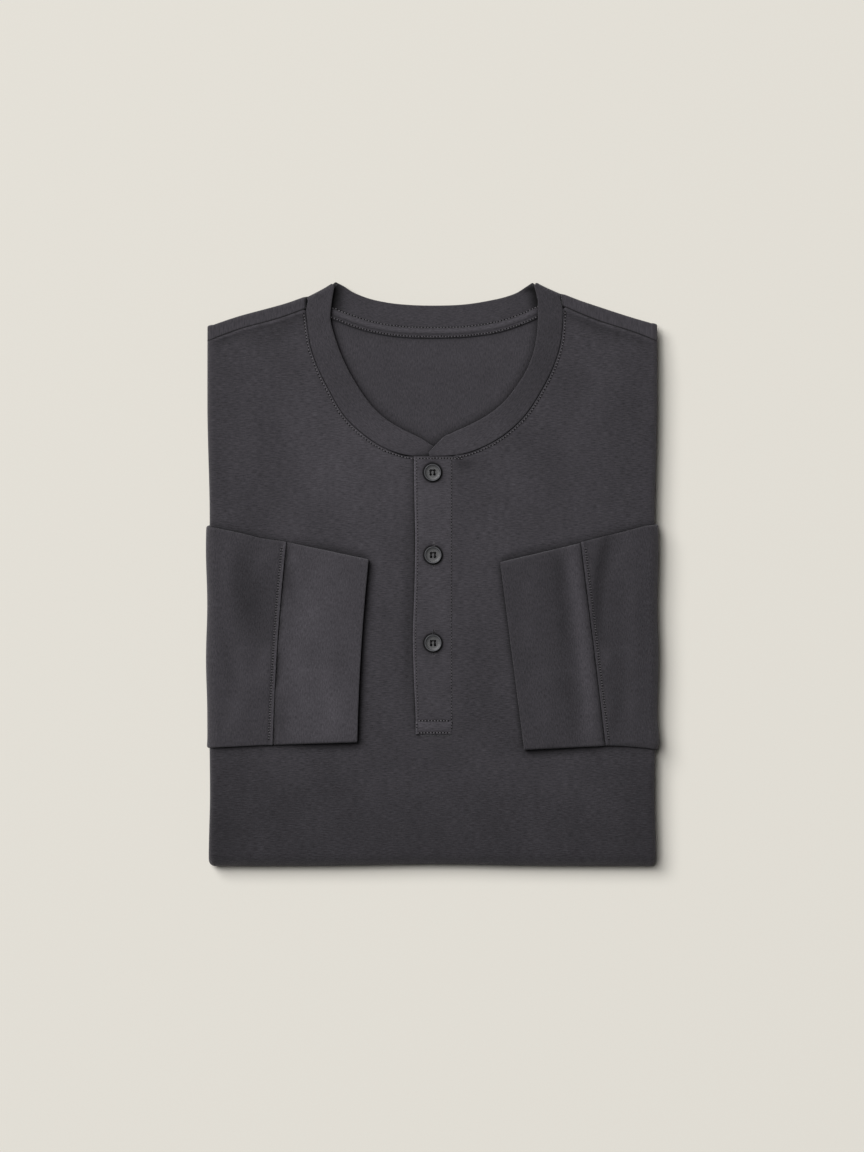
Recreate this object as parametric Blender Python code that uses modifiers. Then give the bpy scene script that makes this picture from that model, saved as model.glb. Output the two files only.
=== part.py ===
"""A long-sleeved henley shirt in plain knit, folded into a flat stack: the front on top, the lower half
turned under at a rounded fold, the sleeves brought round both sides with their cuffs on the front.

Each cut piece is a sheet at the middle of its cloth, given its wall by a Solidify modifier.
X runs across the shirt, Y towards its neck and Z up from the surface it lies on. The origin is on
that surface, at the middle of the folded outline. Lengths are in millimetres up to the mesh.
"""

import math

import bpy
import numpy as np

MM = 0.001

# Cloth
PLY = 1.1  # one ply of the body and sleeve knit
BAND_PLY = 2.0  # the neckband, folded double
CUFF_PLY = 1.4  # each side of a cuff, folded double
GAP = 0.3  # clearance between pieces at a seam and between layers

# The folded body
STACK = 17.4  # height of the body's top face
FOLD_Y = -181.0  # where the bottom fold's bend begins
HEM_Y = 148.5  # the hem, turned up underneath
SIDE_HALF = 144.8  # half the width where the sleeves pass round
SIDE_FLARE = 1.5  # how much wider each side is away from the sleeves
FLARE_OVER = 75.0  # over this length
SIDE_TOP = 151.8  # where the shoulder seams meet the sides
SIDE_LIP = 8.0  # how far the turned side runs back in
TURN_DEEP = 8.2  # height of the turned side away from the sleeves
TURN_SHALLOW = 7.0  # and where a sleeve passes below it
TURN_FADE = 14.0  # from one height to the other
NECK_TURN_FROM = 105.0  # the upper half's sides are shallow again past here
NECK_TURN_OVER = 40.0
TURN_STEPS = (-1.0, 0.0, 1 / 6, 2 / 6, 3 / 6, 4 / 6, 5 / 6, 1.0)  # the lip's end, then round to the flat
DROOP = 6.0  # how far the neck end hangs below the top face
DROOP_FROM = 130.0
DROOP_TO = 190.0
BACK_END_Y = -174.0  # where the ply below the front meets the bottom fold
BACK_DROP = 3.2  # from the front's outer face down to the back's inner face
BACK_SIDE = 142.0  # half the width of the ply below the front
STRIP_FOLD_Y = 160.0  # where a shoulder strip's turned side ends, and how much its end is rounded
STRIP_ROUND = 0.35

# Rows of nodes down the front: across its face below the slot, and up underneath it
LOWER_SIDE = 130.0  # its lower columns spread out to here
WAIST_ROWS = (-116.5, -130.0, -155.0, FOLD_Y)
UNDER_ROWS = (-135.0, -118.0, -104.0, 20.0, 36.0, 52.0, 100.0, HEM_Y)

# Sleeves, both sides
SLEEVE_MIDDLE_Y = -40.0
SLEEVE_REACH = 76.0  # half of the length of side that a sleeve covers
UNDER_RUN = 11.0  # how far a sleeve runs in between the two halves
SLIT = 0.6  # between the two plies of a flattened sleeve or cuff

# Placket
PLACKET_LEFT = -12.9
PLACKET_RIGHT = 11.2
PLACKET_TOP = 76.1
PLACKET_BOTTOM = -105.0
PLACKET_WALL = 1.2
PLACKET_OVER = 1.9  # how far its free edge lies over the front
SLOT_RIGHT = 11.5
SLOT_BOTTOM = -103.5
SLOT_MIDDLE = 0.3
SLOT_LEFT_TOP = 76.6  # where the neck's edge comes to the slot on either side
SLOT_RIGHT_TOP = 77.0
PLACKET_RAISE = 1.5  # the front beside the stitched edge is level with the placket
RAISE_FADE = 30.0
RAISE_RISE = 14.0

# Buttons
BUTTON_RADIUS = 5.75
BUTTON_HOLE = 0.75
BUTTON_HOLE_SPREAD = 1.15
BUTTON_PLACES = {"button_1": (-1.1, 66.3), "button_2": (-0.8, 12.7), "button_3": (-0.8, -44.5)}

# Shoulders, from the side to the neck: x, then y of the seam and of the fold over the top
SHOULDER_LEFT = (
    (-146.4, 151.8, 161.0),
    (-126.3, 159.3, 167.4),
    (-106.8, 164.8, 172.6),
    (-96.0, 168.2, 176.0),
    (-83.75, 173.2, 181.0),
)
SHOULDER_RIGHT = (
    (146.1, 151.8, 161.2),
    (133.7, 156.7, 164.9),
    (107.7, 165.1, 173.2),
    (95.0, 170.0, 177.6),
    (83.75, 175.0, 182.2),
)

# Neckband, a row for each section: x and y of its seamed edge, x and y of its free edge, how far it is
# raised, and the free edge's own lift
BAND_LEFT = (
    (-83.2, 171.8, -67.0, 178.0, 0.0, 1.2),
    (-82.1, 161.0, -67.4, 166.7, 0.0, 0.9),
    (-79.8, 147.0, -63.9, 152.4, 0.0, 0.5),
    (-75.0, 133.5, -58.3, 138.0, 0.0, 0.2),
    (-67.5, 118.5, -51.0, 124.5, 0.0, 0.0),
    (-58.3, 103.0, -42.5, 112.0, 0.0, 0.0),
    (-46.0, 91.0, -32.5, 101.8, 0.0, 0.0),
    (-31.0, 81.6, -20.5, 94.3, -0.1, 0.0),
    (-14.0, 76.9, -8.5, 88.4, -0.8, 0.0),
    (-1.0, 76.8, 0.5, 82.8, -1.2, 0.0),
    (9.0, 76.9, 9.5, 78.8, -1.2, 0.0),
)
BAND_RIGHT = (
    (84.0, 172.6, 67.4, 178.4, 0.0, 1.2),
    (83.7, 162.0, 67.4, 166.0, 0.0, 0.9),
    (81.8, 148.0, 65.9, 150.5, 0.0, 0.5),
    (76.9, 133.7, 61.8, 136.8, 0.0, 0.2),
    (69.0, 118.5, 54.6, 124.2, 0.0, 0.0),
    (60.0, 104.7, 45.5, 112.5, 0.0, 0.0),
    (48.0, 92.8, 34.5, 103.6, 0.0, 0.0),
    (34.0, 84.0, 22.0, 96.8, 0.3, 0.0),
    (18.0, 78.2, 11.5, 92.0, 1.2, 0.0),
    (4.0, 76.9, 4.0, 87.5, 1.3, 0.0),
    (-3.0, 76.9, -3.6, 79.4, 1.3, 0.0),
)
BAND_BACK = (
    (-72.0, 175.5, -56.0, 184.6, 0.0, 0.0),
    (-58.0, 169.4, -45.0, 179.8, 0.0, 0.0),
    (-42.0, 164.0, -32.0, 176.4, 0.0, 0.0),
    (-22.0, 160.6, -17.0, 174.9, 0.0, 0.0),
    (0.0, 159.9, 0.0, 174.5, 0.0, 0.0),
    (22.0, 160.7, 18.0, 175.0, 0.0, 0.0),
    (42.0, 163.8, 33.0, 177.1, 0.0, 0.0),
    (57.0, 168.9, 46.0, 180.0, 0.0, 0.0),
    (71.0, 175.6, 58.0, 185.2, 0.0, 0.0),
)
FOLD_LEFT = ((-83.3, 181.0), (-63.9, 189.8))  # the band's fold at the shoulder, seamed edge to free edge
FOLD_RIGHT = ((83.3, 182.2), (65.8, 189.8))
FOLD_RADIUS_SEAM = 1.7
FOLD_RADIUS_FREE = 3.0
FOLD_LIFT = 1.5
BAND_SINK = 0.35  # the middle of the band below the front's outer face
BACK_BAND_SINK = 3.75
BAND_ACROSS = (0.0, 0.33, 0.67, 1.0)  # shares of its width at which a section has nodes
NECK_GAP = 0.5  # in plan, from the band's seamed edge to what it is sewn to
TAPE_WIDTH = 6.6
TAPE_PLY = 1.0

# Sleeve edges, a row for each place along it: inward from the bend's centre, y of the neck-side and of the
# hem-side edge, and how far its upper ply's edge is from its lower ply's
SLEEVE_LEFT = (
    (-27.0, 34.5, -113.6, 0.0),
    (-8.0, 31.6, -112.8, 0.0),
    (2.0, 29.8, -112.4, 0.0),
    (15.0, 27.0, -111.8, 0.0),
    (28.0, 23.7, -111.1, 0.0),
    (46.0, 21.0, -110.8, 0.0),
)
SLEEVE_RIGHT = (
    (-27.0, 35.5, -115.6, 0.0),
    (-8.0, 32.6, -115.0, 4.6),
    (2.0, 31.6, -113.6, 3.6),
    (15.0, 28.0, -112.2, 1.6),
    (28.0, 25.0, -111.4, 0.2),
    (46.0, 20.6, -111.4, 0.0),
)

# Cuffs: seam and open end, each from its neck-side corner to its hem-side corner, and their bow
CUFF_LEFT = {"seam": ((-96.0, 21.1), (-104.5, -110.8)), "end": ((-42.7, 9.8), (-49.9, -109.2)), "bow": 1.2}
CUFF_RIGHT = {"seam": ((95.4, 20.5), (111.6, -111.5)), "end": ((43.1, 8.1), (58.3, -114.1)), "bow": 0.0}

# Soft ridges of the upper ply: middle x and y, half length, half width, turn in degrees, height
RIDGES = (
    (-121.0, -66.0, 40.0, 9.0, 80.0, 0.5),
    (-134.0, 4.0, 30.0, 8.0, 95.0, 0.4),
    (-78.0, -20.0, 60.0, 14.0, 88.0, 0.3),
    (92.0, -30.0, 62.0, 6.0, 94.0, 0.7),
    (127.0, -20.0, 40.0, 9.0, 82.0, 0.6),
    (68.0, -60.0, 50.0, 10.0, 96.0, 0.3),
)

# The hidden layers: height, x of the side and y of the neck end
LAYERS = (
    (1.4, 140.0, 145.5),
    (3.2, 141.0, 146.5),
    (3.3, 137.0, 141.0),
    (3.7, 137.0, 141.0),
    (3.8, 140.5, 147.0),
    (5.5, 140.0, 146.0),
    (5.9, 129.5, 140.5),
    (6.3, 129.5, 140.5),
    (6.4, 129.8, 146.5),
    (8.0, 129.8, 146.0),
    (8.2, 126.0, 140.0),
    (8.6, 126.0, 140.0),
    (8.8, 129.8, 149.0),
    (10.5, 129.6, 148.0),
    (10.6, 126.0, 137.0),
    (11.6, 126.0, 137.0),
    (11.7, 139.5, 137.0),
    (12.5, 139.0, 134.0),
)
LAYER_CORNER = 9.0
FOLD_CORNER = 2.0
FOLD_CLEARANCE = 0.2  # inside the bottom fold, besides the usual gap

CLOTH = (0.052, 0.050, 0.054, 1.0)
CLOTH_INSIDE = (0.046, 0.044, 0.048, 1.0)
BUTTON_COLOUR = (0.060, 0.060, 0.062, 1.0)


def clear_scene():
    for obj in list(bpy.data.objects):
        bpy.data.objects.remove(obj, do_unlink=True)


def ease(t):
    """0 below 0, 1 above 1 and a smooth step between."""
    t = np.clip(t, 0.0, 1.0)
    return t * t * (3.0 - 2.0 * t)


def through(rows, count):
    """`count` rows on a smooth curve through the given rows, evenly spaced along it."""
    rows = np.array(rows, float)
    along = np.concatenate([[0.0], np.cumsum(np.hypot(*np.diff(rows[:, :2], axis=0).T))])
    slope = np.gradient(rows, along, axis=0)
    at = np.linspace(0.0, along[-1], count)
    k = np.clip(np.searchsorted(along, at, side="right") - 1, 0, len(rows) - 2)
    span = (along[k + 1] - along[k])[:, None]
    t = ((at - along[k])[:, None]) / span
    return (
        (2 * t**3 - 3 * t**2 + 1) * rows[k]
        + (t**3 - 2 * t**2 + t) * span * slope[k]
        + (3 * t**2 - 2 * t**3) * rows[k + 1]
        + (t**3 - t**2) * span * slope[k + 1]
    )


def side_half(y):
    """Half the body's width: narrowest between the sleeves' edges."""
    return SIDE_HALF + SIDE_FLARE * ease((np.abs(y - SLEEVE_MIDDLE_Y) - SLEEVE_REACH) / FLARE_OVER)


def base_height(y):
    """The stack's top face, which hangs down beyond the hem."""
    return STACK - DROOP * ease((y - DROOP_FROM) / (DROOP_TO - DROOP_FROM))


def front_height(x, y):
    """The front's outer face: the base, raised beside the placket's stitched edge."""
    beside = (x > SLOT_RIGHT - 0.1) * (1.0 - ease((x - SLOT_RIGHT) / RAISE_FADE))
    return base_height(y) + PLACKET_RAISE * beside * ease((y - SLOT_BOTTOM) / RAISE_RISE)


def turn_depth(y, upper):
    """Height of a turned side: shallow where a sleeve passes, and at the neck end of the upper half."""
    away = ease((np.abs(y - SLEEVE_MIDDLE_Y) - SLEEVE_REACH) / TURN_FADE)
    depth = TURN_SHALLOW + (TURN_DEEP - TURN_SHALLOW) * away
    if upper:
        depth = depth - (TURN_DEEP - TURN_SHALLOW) * ease((y - NECK_TURN_FROM) / NECK_TURN_OVER)
    return depth


def turned_side(step, depth):
    """(inward, depth below the outer face) of a turned side, from its lip's end (0) to the flat (1)."""
    radius = (depth - PLY) / 2.0
    if step < 0:
        return depth / 2.0 - step * SIDE_LIP, depth - PLY / 2.0
    angle = math.pi * (step - 0.5)
    return depth / 2.0 - radius * math.cos(angle), depth / 2.0 - radius * math.sin(angle)


def sheet(name, nodes, wall, colour, close=False):
    """A sheet from a grid of nodes (None where the cloth is cut away), with its wall from Solidify."""
    index = {}
    points = []
    for i, row in enumerate(nodes):
        for j, node in enumerate(row):
            if node is not None:
                index[i, j] = len(points)
                points.append(tuple(float(c) * MM for c in node))
    faces = []
    across = len(nodes[0])
    for i in range(len(nodes) - 1):
        for j in range(across if close else across - 1):
            k = (j + 1) % across
            corners = ((i, j), (i + 1, j), (i + 1, k), (i, k))
            if all(corner in index for corner in corners):
                faces.append([index[corner] for corner in corners])
    return solid_from(name, points, faces, colour, wall)


def solid_from(name, points, faces, colour, wall=None):
    mesh = bpy.data.meshes.new(name)
    mesh.from_pydata(points, [], faces)
    mesh.update()
    obj = bpy.data.objects.new(name, mesh)
    PARTS.objects.link(obj)
    mesh.shade_smooth()
    mesh.materials.append(material(name, colour))
    if wall:
        thick = obj.modifiers.new("Wall", "SOLIDIFY")
        thick.thickness = wall * MM
        thick.offset = 0.0
    return obj


def material(name, colour, roughness=0.9):
    made = bpy.data.materials.new(name)
    made.use_nodes = True
    shader = made.node_tree.nodes["Principled BSDF"]
    shader.inputs["Base Color"].default_value = colour
    shader.inputs["Roughness"].default_value = roughness
    shader.inputs["Metallic"].default_value = 0.0
    return made


def offset_curve(points, distance):
    """The plan points moved sideways: to the left of the direction they run in, for a positive distance."""
    along = np.gradient(points, axis=0)
    along /= np.linalg.norm(along, axis=1)[:, None]
    return points + distance * np.stack([-along[:, 1], along[:, 0]], axis=1)


def front_panel():
    """The whole front: its face, the bottom fold and its lower half under the stack, with turned sides."""
    seam_left = through(SHOULDER_LEFT, 5)
    seam_right = through(SHOULDER_RIGHT, 5)[::-1]
    slot_left = PLACKET_LEFT + PLACKET_OVER
    neck_left = through([row[:2] for row in BAND_LEFT[:9]] + [(slot_left, SLOT_LEFT_TOP)], 10)
    neck_right = through([(SLOT_RIGHT, SLOT_RIGHT_TOP)] + [row[:2] for row in BAND_RIGHT[:9]][::-1], 10)
    neck_left = offset_curve(neck_left, -NECK_GAP)
    neck_right = offset_curve(neck_right, -NECK_GAP)
    neck_left[-1] = (slot_left, PLACKET_TOP)
    neck_right[0] = (SLOT_RIGHT, PLACKET_TOP)
    tops = [("turn", -1, step) for step in TURN_STEPS]
    tops += [("flat", x, y - GAP / 2) for x, y in seam_left[1:-1, :2]]
    tops += [("flat", x, y) for x, y in neck_left]
    tops += [("slot", SLOT_MIDDLE, PLACKET_TOP)]
    tops += [("flat", x, y) for x, y in neck_right]
    tops += [("flat", x, y - GAP / 2) for x, y in seam_right[1:-1, :2]]
    tops += [("turn", 1, step) for step in TURN_STEPS[::-1]]

    flats = [k for k, top in enumerate(tops) if top[0] == "flat"]
    slot = next(k for k, top in enumerate(tops) if top[0] == "slot")
    below = dict.fromkeys(range(len(tops)), 0.0)
    left = [k for k in flats if k < slot]
    right = [k for k in flats if k > slot]
    for k, x in zip(left, np.linspace(-LOWER_SIDE, slot_left, len(left))):
        below[k] = x
    for k, x in zip(right, np.linspace(SLOT_RIGHT, LOWER_SIDE, len(right))):
        below[k] = x
    below[slot] = SLOT_MIDDLE

    upper = [("upper", t) for t in np.linspace(0.0, 1.0, 10)]
    lower_face = [("waist", y) for y in WAIST_ROWS]
    bend = [("bend", a) for a in np.linspace(90.0, -90.0, 8)[1:]]
    under = [("under", y) for y in UNDER_ROWS]
    side_top = SIDE_TOP - GAP / 2
    nodes = []
    for part, value in upper + lower_face + bend + under:
        row = []
        for k, (kind, first, second) in enumerate(tops):
            top_y = side_top if kind == "turn" else second
            if part == "upper":
                y = top_y + (SLOT_BOTTOM - top_y) * value
            else:
                y = FOLD_Y if part == "bend" else value
            if kind == "turn":
                inward, deep = turned_side(second, turn_depth(y, part in ("upper", "waist")))
                x = first * (side_half(y) - inward)
            else:
                deep = PLY / 2.0
                x = below[k]
                if part == "upper" and kind == "flat":
                    x = first + (below[k] - first) * (1.0 - (1.0 - value) ** 2)
            if kind == "slot" and part == "upper" and value < 0.999:
                row.append(None)
            elif part in ("upper", "waist"):
                row.append((x, y, front_height(x, y) - deep))
            elif part == "bend":
                reach = STACK / 2.0 - deep
                angle = math.radians(value)
                row.append((x, FOLD_Y - reach * math.cos(angle), STACK / 2.0 + reach * math.sin(angle)))
            else:
                row.append((x, y, deep))
        nodes.append(row)
    return sheet("front_panel", nodes, PLY, CLOTH)


def down_the_back(top_y, share):
    """Y of a row of the ply below the front: 1 is where the neck end starts to hang, 2 the bottom fold."""
    if share <= 1.0:
        return top_y + (DROOP_FROM - top_y) * share
    return DROOP_FROM + (BACK_END_Y - DROOP_FROM) * (share - 1.0)


def back_panel():
    """The back: strips rolled over the shoulders to their seams, and the ply below the front."""
    radius = BACK_DROP / 2.0
    strip_left = through(SHOULDER_LEFT, 6)
    strip_right = through(SHOULDER_RIGHT, 6)[::-1]
    neck = offset_curve(through([row[:2] for row in BAND_BACK], 13), -NECK_GAP)
    columns = [("turn", -1, step, 0.0) for step in TURN_STEPS[1:-1]]
    columns += [("strip", *row) for row in strip_left]
    columns += [("neck", x, y, 0.0) for x, y in neck]
    columns += [("strip", *row) for row in strip_right]
    columns += [("turn", 1, step, 0.0) for step in TURN_STEPS[1:-1][::-1]]
    rows = [("strip", t) for t in (0.0, 0.5, 1.0)]
    rows += [("roll", a) for a in (54.0, 18.0, -18.0, -54.0, -90.0)]
    rows += [("ply", t) for t in (0.25, 0.5, 0.75, 1.0, 2.0)]
    nodes = []
    for part, value in rows:
        row = []
        for kind, x, second, third in columns:
            if kind == "turn":
                if part != "strip":
                    row.append(None)
                    continue
                inward, deep = turned_side(second, TURN_SHALLOW)
                far = STRIP_FOLD_Y - STRIP_ROUND * abs(inward - TURN_SHALLOW / 2.0) ** 2 / TURN_SHALLOW
                near = SIDE_TOP + GAP / 2
                y = near + (far - near) * value
                row.append((x * (side_half(y) - inward), y, base_height(y) - deep))
                continue
            if kind == "neck":
                if part == "ply" or (part == "roll" and value == -90.0):
                    y = down_the_back(second, value if part == "ply" else 0.0)
                    row.append((x, y, base_height(y) - BACK_DROP - PLY / 2.0))
                else:
                    row.append(None)
                continue
            side = math.copysign(1.0, x)
            edge = side_half(second) - TURN_SHALLOW / 2.0
            x = side * min(abs(x), edge)
            centre_y = third - radius - PLY / 2.0
            centre_z = base_height(centre_y) - PLY / 2.0 - radius
            if part == "strip":
                near = second + GAP / 2
                y = near + (centre_y - near) * value
                row.append((x, y, base_height(y) - PLY / 2.0))
            elif part == "roll":
                angle = math.radians(value)
                row.append((x, centre_y + radius * math.cos(angle), centre_z + radius * math.sin(angle)))
            else:
                y = down_the_back(centre_y, value)
                x = side * min(abs(x), BACK_SIDE - value)
                row.append((x, y, base_height(y) - BACK_DROP - PLY / 2.0))
        nodes.append(row)
    return sheet("back_panel", nodes, PLY, CLOTH)


def band_fold(fold, ascending):
    """The bend of the band over a shoulder: sections from the front's face round to the back's."""
    seam, free = np.array(fold)
    along = (free - seam) / np.linalg.norm(free - seam)
    outward = np.array([-along[1], along[0]]) * math.copysign(1.0, along[0])
    sections = []
    for angle in np.linspace(90.0, -90.0, 7):
        section = []
        for w in BAND_ACROSS:
            radius = FOLD_RADIUS_SEAM + (FOLD_RADIUS_FREE - FOLD_RADIUS_SEAM) * w**1.5
            place = seam + (free - seam) * w - outward * (radius + BAND_PLY / 2.0)
            top = base_height(place[1]) - BAND_SINK + FOLD_LIFT * w
            turn = math.radians(angle)
            plan = place + outward * radius * math.cos(turn)
            section.append((*plan, top - radius + radius * math.sin(turn)))
        sections.append(section)
    return sections if ascending else sections[::-1]


def band_run(rows, count, back):
    """Sections of the band along its rows, on the front's face or on the back's inner face."""
    sections = []
    for seam_x, seam_y, free_x, free_y, level, lift in through(rows, count):
        section = []
        for w in BAND_ACROSS:
            x = seam_x + (free_x - seam_x) * w
            y = seam_y + (free_y - seam_y) * w
            sink = BACK_BAND_SINK if back else BAND_SINK
            section.append((x, y, base_height(y) - sink + level + lift * w))
        sections.append(section)
    return sections


def neckband():
    """One ribbon: the left front end, over the left shoulder, along the back and over to the right end."""
    left = band_run(BAND_LEFT, 17, False)[::-1]
    back = band_run(BAND_BACK, 14, True)
    right = band_run(BAND_RIGHT, 17, False)
    sections = left + band_fold(FOLD_LEFT, True) + back + band_fold(FOLD_RIGHT, False) + right
    return sheet("neckband", sections, BAND_PLY, CLOTH)


def neck_tape():
    """A strip over the back neck seam, on the back's inner face."""
    seam = through([row[:2] for row in BAND_BACK], 17)
    nodes = []
    for share in (0.0, 0.5, 1.0):
        line = offset_curve(seam, -(NECK_GAP + TAPE_WIDTH * share))
        nodes.append([(x, y, base_height(y) - BACK_DROP + GAP + TAPE_PLY / 2.0) for x, y in line])
    return sheet("neck_tape", nodes, TAPE_PLY, CLOTH)


def plackets():
    """The buttonhole placket on top, and the button placket in the front's slot below it."""
    ys = np.linspace(PLACKET_BOTTOM, PLACKET_TOP, 5)
    xs = np.linspace(PLACKET_LEFT, PLACKET_RIGHT, 4)
    height = STACK + GAP + PLACKET_WALL / 2.0
    sheet("placket", [[(x, y, height) for x in xs] for y in ys], PLACKET_WALL, CLOTH)
    xs = np.linspace(PLACKET_LEFT + PLACKET_OVER + GAP, SLOT_RIGHT - GAP, 4)
    ys = np.linspace(SLOT_BOTTOM + GAP, PLACKET_TOP, 5)
    sheet("under_placket", [[(x, y, STACK - PLY / 2.0) for x in xs] for y in ys], PLY, CLOTH)


BEND_CENTRE_X = SIDE_HALF - TURN_SHALLOW / 2.0
BEND_CENTRE_Z = STACK - TURN_SHALLOW / 2.0
SLEEVE_HALF = PLY + SLIT / 2.0
BEND_RADIUS = TURN_SHALLOW / 2.0 + GAP + SLEEVE_HALF
BEND_LENGTH = math.pi * BEND_RADIUS


def sleeve_path(inward):
    """Middle of a sleeve in side view: between the halves, round the turned side, then along the top.

    `inward` counts from the bend's end on top, negative back round the bend and in below it.
    Gives x, z and the outward normal's x and z, for the right-hand side.
    """
    if inward >= 0.0:
        return BEND_CENTRE_X - inward, BEND_CENTRE_Z + BEND_RADIUS, 0.0, 1.0
    if inward < -BEND_LENGTH:
        return BEND_CENTRE_X + BEND_LENGTH + inward, BEND_CENTRE_Z - BEND_RADIUS, 0.0, -1.0
    angle = math.pi / 2.0 + inward / BEND_RADIUS
    out, up = math.cos(angle), math.sin(angle)
    return BEND_CENTRE_X + BEND_RADIUS * out, BEND_CENTRE_Z + BEND_RADIUS * up, out, up


def ridge_height(x, y):
    """Sum of the soft ridges: each a bell across its width and along its length."""
    total = 0.0
    for mid_x, mid_y, long, wide, turn, height in RIDGES:
        c, s = math.cos(math.radians(turn)), math.sin(math.radians(turn))
        a = ((x - mid_x) * c + (y - mid_y) * s) / long
        b = ((y - mid_y) * c - (x - mid_x) * s) / wide
        total += height * math.exp(-(a**4) - b**2)
    return total


def flat_ring(half, flats):
    """Ring of a flattened tube as (share of the width, extra across, height, on top), once round."""
    ring = [(f, 0.0, half, 1.0) for f in flats]
    ring += [(1.0, half * math.cos(a), half * math.sin(a), 0.5) for a in (math.pi / 4, 0.0, -math.pi / 4)]
    ring += [(f, 0.0, -half, 0.0) for f in flats[::-1]]
    ring += [(0.0, -half * math.cos(a), half * math.sin(a), 0.5) for a in (-math.pi / 4, 0.0, math.pi / 4)]
    return ring


FLATS = (0.0, 0.2, 0.4, 0.6, 0.8, 1.0)


def seam_x(cuff, end, share):
    """|x| of a cuff's seam or open end, at a share of the way from its neck-side corner."""
    (first, _), (last, _) = cuff[end]
    return abs(first + (last - first) * share) + 4.0 * cuff["bow"] * share * (1.0 - share)


def sleeve(name, side, edges, cuff):
    """A flattened tube: out between the halves, round the side and over the front to the cuff."""
    table = np.array(edges)
    half = (PLY + SLIT) / 2.0
    start = -(BEND_LENGTH + UNDER_RUN)
    under = np.linspace(start, -BEND_LENGTH, 3)
    bend = np.linspace(-BEND_LENGTH, 0.0, 8)[1:]
    nodes = []
    for station in [*under, *bend, 0.2, 0.45, 0.7, 1.0]:
        row = []
        for share, extra, height, top in flat_ring(half, FLATS):
            inward = station
            if station > 0.0:
                inward = station * (BEND_CENTRE_X - seam_x(cuff, "seam", share) - GAP / 2)
            neck_y, hem_y, step = (np.interp(inward, table[:, 0], table[:, k]) for k in (1, 2, 3))
            flat_half = half + PLY / 2.0
            y = neck_y - flat_half + (hem_y + step * top - neck_y + 2.0 * flat_half) * share - extra
            x, z, out, up = sleeve_path(inward)
            lift = height
            if top == 1.0 and inward > 0.0:
                lift += ridge_height(side * x, y) * ease(inward / 12.0)
            row.append((side * (x + out * lift), y, z + up * lift))
        nodes.append(row)
    return tube(name, nodes, PLY, side)


def cuff_piece(name, side, cuff):
    """A flattened tube of doubled cloth, from the sleeve's end to its own open end."""
    half = (CUFF_PLY + SLIT) / 2.0
    flat_half = half + CUFF_PLY / 2.0
    middle = STACK + GAP + flat_half
    (_, seam_top), (_, seam_bottom) = cuff["seam"]
    (_, end_top), (_, end_bottom) = cuff["end"]
    nodes = []
    for along in (0.0, 0.15, 0.35, 0.55, 0.78, 1.0):
        row = []
        for share, extra, height, top in flat_ring(half, FLATS):
            seam_at = seam_x(cuff, "seam", share) - GAP / 2
            x = side * (seam_at + (seam_x(cuff, "end", share) - seam_at) * along)
            neck_y = seam_top + (end_top - seam_top) * along
            hem_y = seam_bottom + (end_bottom - seam_bottom) * along
            y = neck_y - flat_half + (hem_y - neck_y + 2.0 * flat_half) * share - extra
            lift = ridge_height(x, y) if top == 1.0 else 0.0
            row.append((x, y, middle + height + lift))
        nodes.append(row)
    return tube(name, nodes, CUFF_PLY, side)


def tube(name, nodes, wall, side):
    """A sheet closed round its sections, with its faces outwards on either side of the shirt."""
    if side > 0:
        nodes = [row[::-1] for row in nodes]
    return sheet(name, nodes, wall, CLOTH, close=True)


def layer_outline(z, side_x, neck_y):
    """A layer's outline: straight sides, rounded corners, and its fold end inside the bottom fold."""
    inside = STACK / 2.0 - PLY - GAP - FOLD_CLEARANCE
    reach = math.sqrt(max(inside**2 - (z - STACK / 2.0) ** 2, 0.0))
    fold_y = FOLD_Y - reach
    outline = []
    for sign_x, sign_y in ((1, 1), (-1, 1), (-1, -1), (1, -1)):
        corner = LAYER_CORNER if sign_y > 0 else FOLD_CORNER
        centre = (sign_x * (side_x - corner), (neck_y - corner) if sign_y > 0 else (fold_y + corner))
        first = {(1, 1): 0.0, (-1, 1): 90.0, (-1, -1): 180.0, (1, -1): 270.0}[sign_x, sign_y]
        for turn in (0.0, 30.0, 60.0, 90.0):
            angle = math.radians(first + turn)
            outline.append((centre[0] + corner * math.cos(angle), centre[1] + corner * math.sin(angle), z))
    return outline


def hidden_layers():
    """One rounded solid for the plies that the fold hides, with their layered edges as steps."""
    rings = [layer_outline(*layer) for layer in LAYERS]
    points = [tuple(c * MM for c in point) for ring in rings for point in ring]
    size = len(rings[0])
    faces = [list(range(size))[::-1], [len(points) - size + k for k in range(size)]]
    for i in range(len(rings) - 1):
        for j in range(size):
            k = (j + 1) % size
            faces.append([i * size + j, i * size + k, (i + 1) * size + k, (i + 1) * size + j])
    return solid_from("hidden_layers", points, faces, CLOTH_INSIDE)


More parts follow.
